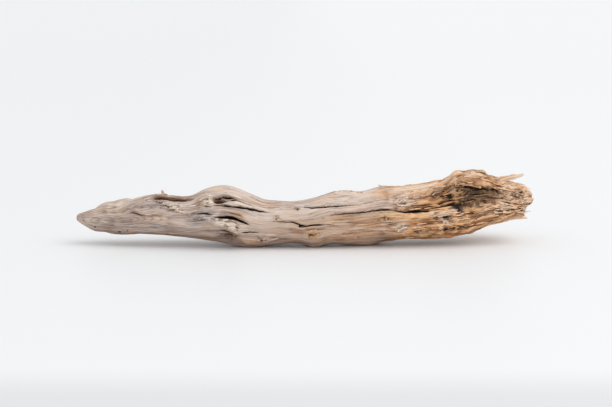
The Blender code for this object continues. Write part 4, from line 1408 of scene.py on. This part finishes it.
def paint_shares(mesh, **shares):
    """Paints the same share of each colour of wood on all of a mesh, or one for each point."""
    count = len(mesh.vertices)
    for name in SHARES:
        paint(mesh, name, np.broadcast_to(shares.get(name, 0.0), count))


def joined(pieces, name):
    """Pieces made one object, with outward faces and its wood."""
    deselect()
    for piece in pieces:
        piece.select_set(True)
    bpy.context.view_layer.objects.active = pieces[0]
    bpy.ops.object.join()
    whole = bpy.context.object
    close_mesh(whole)
    bpy.ops.object.shade_smooth_by_angle(angle=math.radians(50))
    finish_piece(whole, name)


class DRIFTWOOD_OT_splinters(bpy.types.Operator):
    """Adds the long splinters and the short torn fibres of the broken end"""

    bl_idname = "driftwood.add_splinters"
    bl_label = "Splinters"

    def execute(self, context):
        pieces = []
        for i, (root, tip, radius, flatness) in enumerate(SPLINTERS):
            piece, share = add_splinter(root, tip, radius, flatness, SPLINTER_MESH, i)
            paint_shares(piece.data, tan=0.9, cream=0.25 + 0.5 * share)
            pieces.append(piece)
        draw = random.Random(FIBRE_SIZE_SEED)
        for i in range(context.scene.driftwood_shape.splinters):
            turn = draw.uniform(-math.pi, math.pi)
            inset = draw.uniform(*FIBRE_INSET)
            edge, _ = break_edge(np.array([turn]))
            x = float(edge[0]) - FIBRE_SETBACK - FACE_HOLLOW * (1 - inset)
            middle_z, half_z, middle_y, half_y = (float(v[0]) for v in section(np.array([x])))
            y = middle_y - inset * half_y * math.cos(turn)
            z = middle_z + inset * half_z * math.sin(turn)
            length = draw.uniform(*FIBRE_LENGTH)
            tip = (x + length, y + draw.uniform(*FIBRE_LEAN), z + draw.uniform(*FIBRE_RISE))
            radius = draw.uniform(*FIBRE_RADIUS)
            root = (x - FIBRE_ROOT, y, z)
            piece, share = add_splinter(root, tip, radius, FIBRE_FLATNESS, FIBRE_MESH, FIBRE_SEED + i)
            cream, brown = draw.uniform(0, 0.8), draw.choice((0, 0, 0.3, 0.7))
            paint_shares(piece.data, tan=0.9, cream=cream, brown=brown)
            pieces.append(piece)
        joined(pieces, "splinters")
        return {"FINISHED"}


class DRIFTWOOD_OT_twig(bpy.types.Operator):
    """Adds the worn stub of a twig on the blade's back"""

    bl_idname = "driftwood.add_twig"
    bl_label = "Twig stub"

    def execute(self, context):
        root, tip, radius, flatness = TWIG
        pieces = []
        for i, (lean_x, lean_y, height) in enumerate(PRONGS):
            end = np.array(root) + height * (np.array(tip) - np.array(root)) + (lean_x, lean_y, 0)
            thick = radius * height
            piece, share = add_splinter(root, tuple(end), thick, flatness, PRONG_MESH, PRONG_SEED + i)
            paint_shares(piece.data, tan=0.9, brown=0.45 * (1 - share), cream=0.4 * share)
            pieces.append(piece)
        joined(pieces, "twig_stub")
        return {"FINISHED"}


def skin_frames(x, turn, reach, twist):
    """Places on the log's skin, with directions along it, round it and out of it.

    The directions run between places a reach in x, or a twist in turn, to either side.
    """
    skin = log_surface(x, turn)
    ends = []
    for dx, dt in ((reach, 0), (-reach, 0), (0, twist), (0, -twist)):
        near = log_surface(x + dx, turn + dt)
        ends.append(np.stack((x + dx, near["y"], near["z"]), axis=-1))
    along, around = ends[0] - ends[1], ends[2] - ends[3]
    along = along / np.linalg.norm(along, axis=1, keepdims=True)
    out = np.cross(around, along)
    out = out / np.linalg.norm(out, axis=1, keepdims=True)
    place = np.stack((x, skin["y"], skin["z"]), axis=-1)
    return skin, place, along, np.cross(along, out), out


def add_flake(x, degrees, length, width, lift, slant, thickness, seed):
    """A thin plate of wood on the skin, its upper edge sunk in and its lower edge lifted."""
    draw = random.Random(seed)
    spot = np.array([x], float), np.array([math.radians(degrees)])
    skin, place, along, around, out = skin_frames(*spot, 3, 0.09)
    deselect()
    bpy.ops.mesh.primitive_grid_add(x_subdivisions=18, y_subdivisions=6, size=2)
    piece = bpy.context.object
    mesh = piece.data
    local = places_of(mesh)
    u, v = local[:, 0], local[:, 1]
    outline = (1 - np.abs(u) ** 2.6) * (0.8 + 0.35 * noise(u * 4 + seed, 0 * u, 0 * u, 6)) + 0.04
    ragged = 0.16 * noise(u * 9 + seed, 0 * u, 0 * u, 7) * ease(0.2, -1.0, v)
    across = v * outline * width / 2 + ragged * width
    run = u * length / 2 + 0.7 * noise(v * 3 + seed, 0 * v, 0 * v, 8) * ease(0.6, 1.0, np.abs(u))
    rise = lift * ease(0.9, -1.0, v) * (1 - np.abs(u) ** 3) - 0.7 * ease(-0.1, 1.0, v) - 0.5 * u**4
    rise = rise + 0.16 * noise(u * 3 + seed, v * 3, 0 * u, 9) - 0.25
    c, s = math.cos(math.radians(slant)), math.sin(math.radians(slant))
    turned_run, turned_across = c * run - s * across, s * run + c * across
    sag = -(turned_across**2) / (2 * LOG_RADIUS)
    points = (
        place + turned_run[:, None] * along + turned_across[:, None] * around
        + (rise + sag)[:, None] * out
    )
    move_points(mesh, in_frame(*points.T))
    fibre = skin["fibre"] + across / GRAIN_RADIUS + draw.uniform(-0.3, 0.3)
    paint(mesh, "grain", grain_space(x + run, fibre))
    solid = piece.modifiers.new("thickness", "SOLIDIFY")
    solid.thickness = thickness
    solid.offset = 0
    bpy.ops.object.modifier_apply(modifier=solid.name)
    return piece


class DRIFTWOOD_OT_flakes(bpy.types.Operator):
    """Adds the lifted flakes along torn edges"""

    bl_idname = "driftwood.add_flakes"
    bl_label = "Flakes"

    def execute(self, context):
        thickness = context.scene.driftwood_shape.flake_thickness
        pieces = []
        for i, (x, turn, length, width, lift, slant, cream, tan, brown) in enumerate(FLAKES):
            piece = add_flake(x, turn, length, width, lift, slant, thickness, i)
            paint_shares(piece.data, cream=0.6 * cream, tan=tan, brown=0.6 * brown)
            pieces.append(piece)
        joined(pieces, "lifted_flakes")
        return {"FINISHED"}


def random_places(count, seed, start, chance):
    """Random places on the log, as often as a chance from 0 to 1 allows, and clear of the table."""
    numbers = np.random.default_rng(seed)
    x = numbers.uniform(start, STREWN_TO_X, TRIES * count)
    turn = numbers.uniform(-math.pi, math.pi, TRIES * count)
    likely = numbers.uniform(0, 1, TRIES * count) < chance(x, turn)
    x, turn = x[likely], turn[likely]
    clear = log_surface(x, turn)["z"] > CLEAR_OF_TABLE
    return x[clear][:count], turn[clear][:count]


def taken_shape():
    """The points and faces of the primitive that was just added, which is then removed."""
    pattern = bpy.context.object
    shape = places_of(pattern.data)
    faces = sorted(tuple(face.vertices) for face in pattern.data.polygons)
    bpy.data.objects.remove(pattern)
    return shape, faces


def strewn(name, points, faces):
    """One piece made of many copies of a small shape, from the points of every copy."""
    count, each = points.shape[:2]
    all_faces = [tuple(each * k + v for v in face) for k in range(count) for face in faces]
    mesh = bpy.data.meshes.new(name)
    mesh.from_pydata(in_frame(*points.reshape(-1, 3).T).tolist(), [], all_faces)
    piece = bpy.data.objects.new(name, mesh)
    bpy.context.scene.collection.objects.link(piece)
    return piece


def paint_copies(piece, points, fibre, **shares):
    """Paints each copy of a strewn piece with its own share of each colour."""
    each = points.shape[1]
    paint(piece.data, "grain", grain_space(points[..., 0].ravel(), np.repeat(fibre, each)))
    paint_shares(piece.data, **{name: np.repeat(share, each) for name, share in shares.items()})


def sliver_chance(x, turn):
    """Slivers lie thick near the broken end, but on neither the shelf's top nor smooth spots."""
    _, half_z, _, half_y = section(x)
    smooth = np.clip(spots(CALM, x, turn, (half_z + half_y) / 2), 0, 1)
    degrees = np.degrees(turned_from(turn))
    shelf_top = ease(112, 118, x) * ease(162, 156, x) * ease(58, 66, degrees) * ease(125, 110, degrees)
    front = np.where((degrees > -75) & (degrees < 110), 1, 0.55)
    return (0.008 + ease(62, 125, x)) * front * (1 - shelf_top) * (1 - smooth)


class DRIFTWOOD_OT_slivers(bpy.types.Operator):
    """Strews half-torn slivers along the grain, mostly near the broken end"""

    bl_idname = "driftwood.add_slivers"
    bl_label = "Slivers"

    def execute(self, context):
        deselect()
        bpy.ops.mesh.primitive_uv_sphere_add(segments=5, ring_count=5, radius=1)
        shape, faces = taken_shape()
        count = context.scene.driftwood_shape.slivers
        x, turn = random_places(count, SLIVER_PLACE_SEED, SLIVERS_FROM_X, sliver_chance)
        count = len(x)
        skin, place, along, around, out = skin_frames(x, turn, 6, 0.2)
        shares = wood_colours(x, turn, skin)
        numbers = np.random.default_rng(SLIVER_SIZE_SEED)
        length = numbers.uniform(*SLIVER_LENGTH, (count, 1))
        width = numbers.uniform(*SLIVER_WIDTH, (count, 1))
        thick = numbers.uniform(*SLIVER_THICKNESS, (count, 1))
        slant = numbers.normal(0, 0.06, (count, 1, 1))
        lift = numbers.normal(0, 0.03, (count, 1, 1))
        along, around, out = along[:, None], around[:, None], out[:, None]
        forward = along + slant * around + lift * out
        wavy = 1 + 0.25 * numbers.uniform(-1, 1, (count, len(shape)))
        run = (length * shape[:, 2] * wavy)[..., None] * forward
        side = (width * shape[:, 0] * wavy)[..., None] * around
        rise = (thick * shape[:, 1] - 0.2)[..., None] * out
        points = place[:, None] + run + side + rise
        piece = strewn("slivers", points, faces)
        fibre = skin["fibre"] + numbers.uniform(-0.2, 0.2, count)
        pale = np.where(numbers.uniform(0, 1, count) < 0.4, numbers.uniform(0.2, 0.6, count), 0)
        brown = np.where(numbers.uniform(0, 1, count) < 0.2, numbers.uniform(0.2, 0.6, count), 0)
        cream = np.maximum(pale, 0.6 * shares["cream"]) * (1 - 0.75 * shares["rot"])
        paint_copies(
            piece, points, fibre, tan=shares["tan"], silver=shares["silver"], brown=brown, cream=cream,
            rot=0.6 * shares["rot"],
        )
        close_mesh(piece)
        bpy.ops.object.shade_smooth_by_angle(angle=math.radians(40))
        finish_piece(piece, "slivers")
        return {"FINISHED"}


def crumb_chance(x, turn):
    """Crumbs lie where the wood is rotten, most of all on the broken end."""
    return rottenness(x, turn) ** 2 * (0.25 + 0.75 * ease(155, 172, x))


class DRIFTWOOD_OT_crumbs(bpy.types.Operator):
    """Scatters crumbs of rot in the pocket and over the broken end"""

    bl_idname = "driftwood.add_crumbs"
    bl_label = "Crumbs"

    def execute(self, context):
        deselect()
        bpy.ops.mesh.primitive_ico_sphere_add(subdivisions=1, radius=1)
        shape, faces = taken_shape()
        count = context.scene.driftwood_shape.crumbs
        x, turn = random_places(count, CRUMB_PLACE_SEED, CRUMBS_FROM_X, crumb_chance)
        skin = log_surface(x, turn)
        shares = wood_colours(x, turn, skin)
        numbers = np.random.default_rng(CRUMB_SIZE_SEED)
        count = len(x)
        size = numbers.uniform(*CRUMB_SIZE, (count, 1, 1)) * numbers.uniform(0.6, 1.3, (count, 1, 3))
        size[:, :, 0] *= CRUMB_STRETCH
        uneven = 1 + 0.35 * numbers.uniform(-1, 1, (count, len(shape), 1))
        middle = np.stack((x, skin["y"], skin["z"]), axis=-1)[:, None, :]
        points = middle + shape[None] * size * uneven
        piece = strewn("rot_crumbs", points, faces)
        pale = numbers.uniform(0, 1, count) ** 3
        paint_copies(
            piece, points, skin["fibre"], tan=shares["tan"], rot=shares["rot"] * (1 - pale),
            cream=0.8 * pale + 0.3 * shares["cream"], brown=0.2 * (1 - pale),
        )
        close_mesh(piece)
        finish_piece(piece, "rot_crumbs")
        return {"FINISHED"}


def table_material():
    """A pale table with painted light that is brightest at the right, and painted shade near its front edge.
    """
    graph = Graph("pale_table")
    base = bpy.context.scene.driftwood_stage.table
    x = graph.add("ShaderNodeSeparateXYZ", {0: graph.object_place()}, "X")
    y = graph.add("ShaderNodeSeparateXYZ", {0: graph.object_place()}, "Y")
    ends = [opaque(tuple(share * c for c in base)) for share in TABLE_BRIGHTNESS]
    # Painted light: the table brightens towards the right
    colour = graph.mix(graph.between(x, -TABLE_HALF_SPAN, TABLE_HALF_SPAN), *ends)
    # Painted shade on the table's front
    front = graph.mix(1.0, colour, TABLE_FRONT_SHADE, "MULTIPLY")
    colour = graph.mix(graph.between(y, *TABLE_FRONT_Y), colour, front)
    graph.tree.links.new(colour, graph.shader.inputs["Base Color"])
    graph.shader.inputs["Roughness"].default_value = 0.42
    graph.shader.inputs["Specular IOR Level"].default_value = 0.2
    return graph.material


class DRIFTWOOD_OT_stage(bpy.types.Operator):
    """Adds the pale table, the soft light and the camera"""

    bl_idname = "driftwood.add_stage"
    bl_label = "Stage"

    def execute(self, context):
        scene = context.scene
        settings = scene.driftwood_stage
        deselect()
        bpy.ops.mesh.primitive_plane_add(size=TABLE_SIZE, location=(0, 0, 0))
        table = context.object
        table.name = "table_top"
        table.data.materials.append(table_material())

        bpy.ops.object.light_add(type="SUN", location=(0.4, -0.3, 1.0))
        key = context.object
        key.name = "key_light"
        key.data.energy = settings.key
        key.data.angle = settings.softness
        key.rotation_mode = "QUATERNION"
        key.rotation_quaternion = Vector(KEY_DIRECTION).to_track_quat("Z", "Y")

        world = bpy.data.worlds.new("light_tent")
        scene.world = world
        world.use_nodes = True
        tent = world.node_tree.nodes["Background"]
        tent.inputs["Color"].default_value = TENT_COLOUR
        tent.inputs["Strength"].default_value = settings.sky
        scene.view_settings.view_transform = "Standard"

        aim = Vector((-MIDDLE_OF_BOX_X, -MIDDLE_OF_BOX_Y, AIM_HEIGHT)) * MM
        rise = math.radians(CAMERA_RISE)
        back = Vector((0, -math.cos(rise), math.sin(rise)))
        bpy.ops.object.camera_add(location=aim + CAMERA_DISTANCE * back)
        camera = context.object
        camera.name = "camera"
        camera.rotation_mode = "QUATERNION"
        camera.rotation_quaternion = (-back).to_track_quat("-Z", "Y")
        camera.data.lens = settings.lens
        camera.data.sensor_width = SENSOR_WIDTH
        scene.camera = camera
        return {"FINISHED"}


PIECES = (
    DRIFTWOOD_OT_log, DRIFTWOOD_OT_splinters, DRIFTWOOD_OT_twig, DRIFTWOOD_OT_flakes, DRIFTWOOD_OT_slivers,
    DRIFTWOOD_OT_crumbs, DRIFTWOOD_OT_stage,
)
SETTINGS = {
    "driftwood_shape": DriftwoodShape,
    "driftwood_colours": DriftwoodColours,
    "driftwood_stage": DriftwoodStage,
}


class DRIFTWOOD_PT_panel(bpy.types.Panel):
    """Buttons that build the driftwood, with its sizes and colours"""

    bl_idname = "DRIFTWOOD_PT_panel"
    bl_label = "Driftwood"
    bl_space_type = "VIEW_3D"
    bl_region_type = "UI"
    bl_category = "Driftwood"

    def draw(self, context):
        for piece in PIECES:
            self.layout.operator(piece.bl_idname)
        for name, kind in SETTINGS.items():
            box = self.layout.box()
            for key in kind.__annotations__:
                box.prop(getattr(context.scene, name), key)


def register():
    """Adds the settings, the operators and the panel."""
    for kind in (*SETTINGS.values(), *PIECES, DRIFTWOOD_PT_panel):
        bpy.utils.register_class(kind)
    for name, kind in SETTINGS.items():
        setattr(bpy.types.Scene, name, PointerProperty(type=kind))


def unregister():
    """Takes them away again."""
    for name in SETTINGS:
        delattr(bpy.types.Scene, name)
    for kind in reversed((*SETTINGS.values(), *PIECES, DRIFTWOOD_PT_panel)):
        bpy.utils.unregister_class(kind)


def main():
    """Builds the stage and every piece."""
    register()
    bpy.ops.driftwood.add_stage()
    bpy.ops.driftwood.add_log()
    bpy.ops.driftwood.add_splinters()
    bpy.ops.driftwood.add_twig()
    bpy.ops.driftwood.add_flakes()
    bpy.ops.driftwood.add_slivers()
    bpy.ops.driftwood.add_crumbs()


if __name__ == "__main__":
    main()
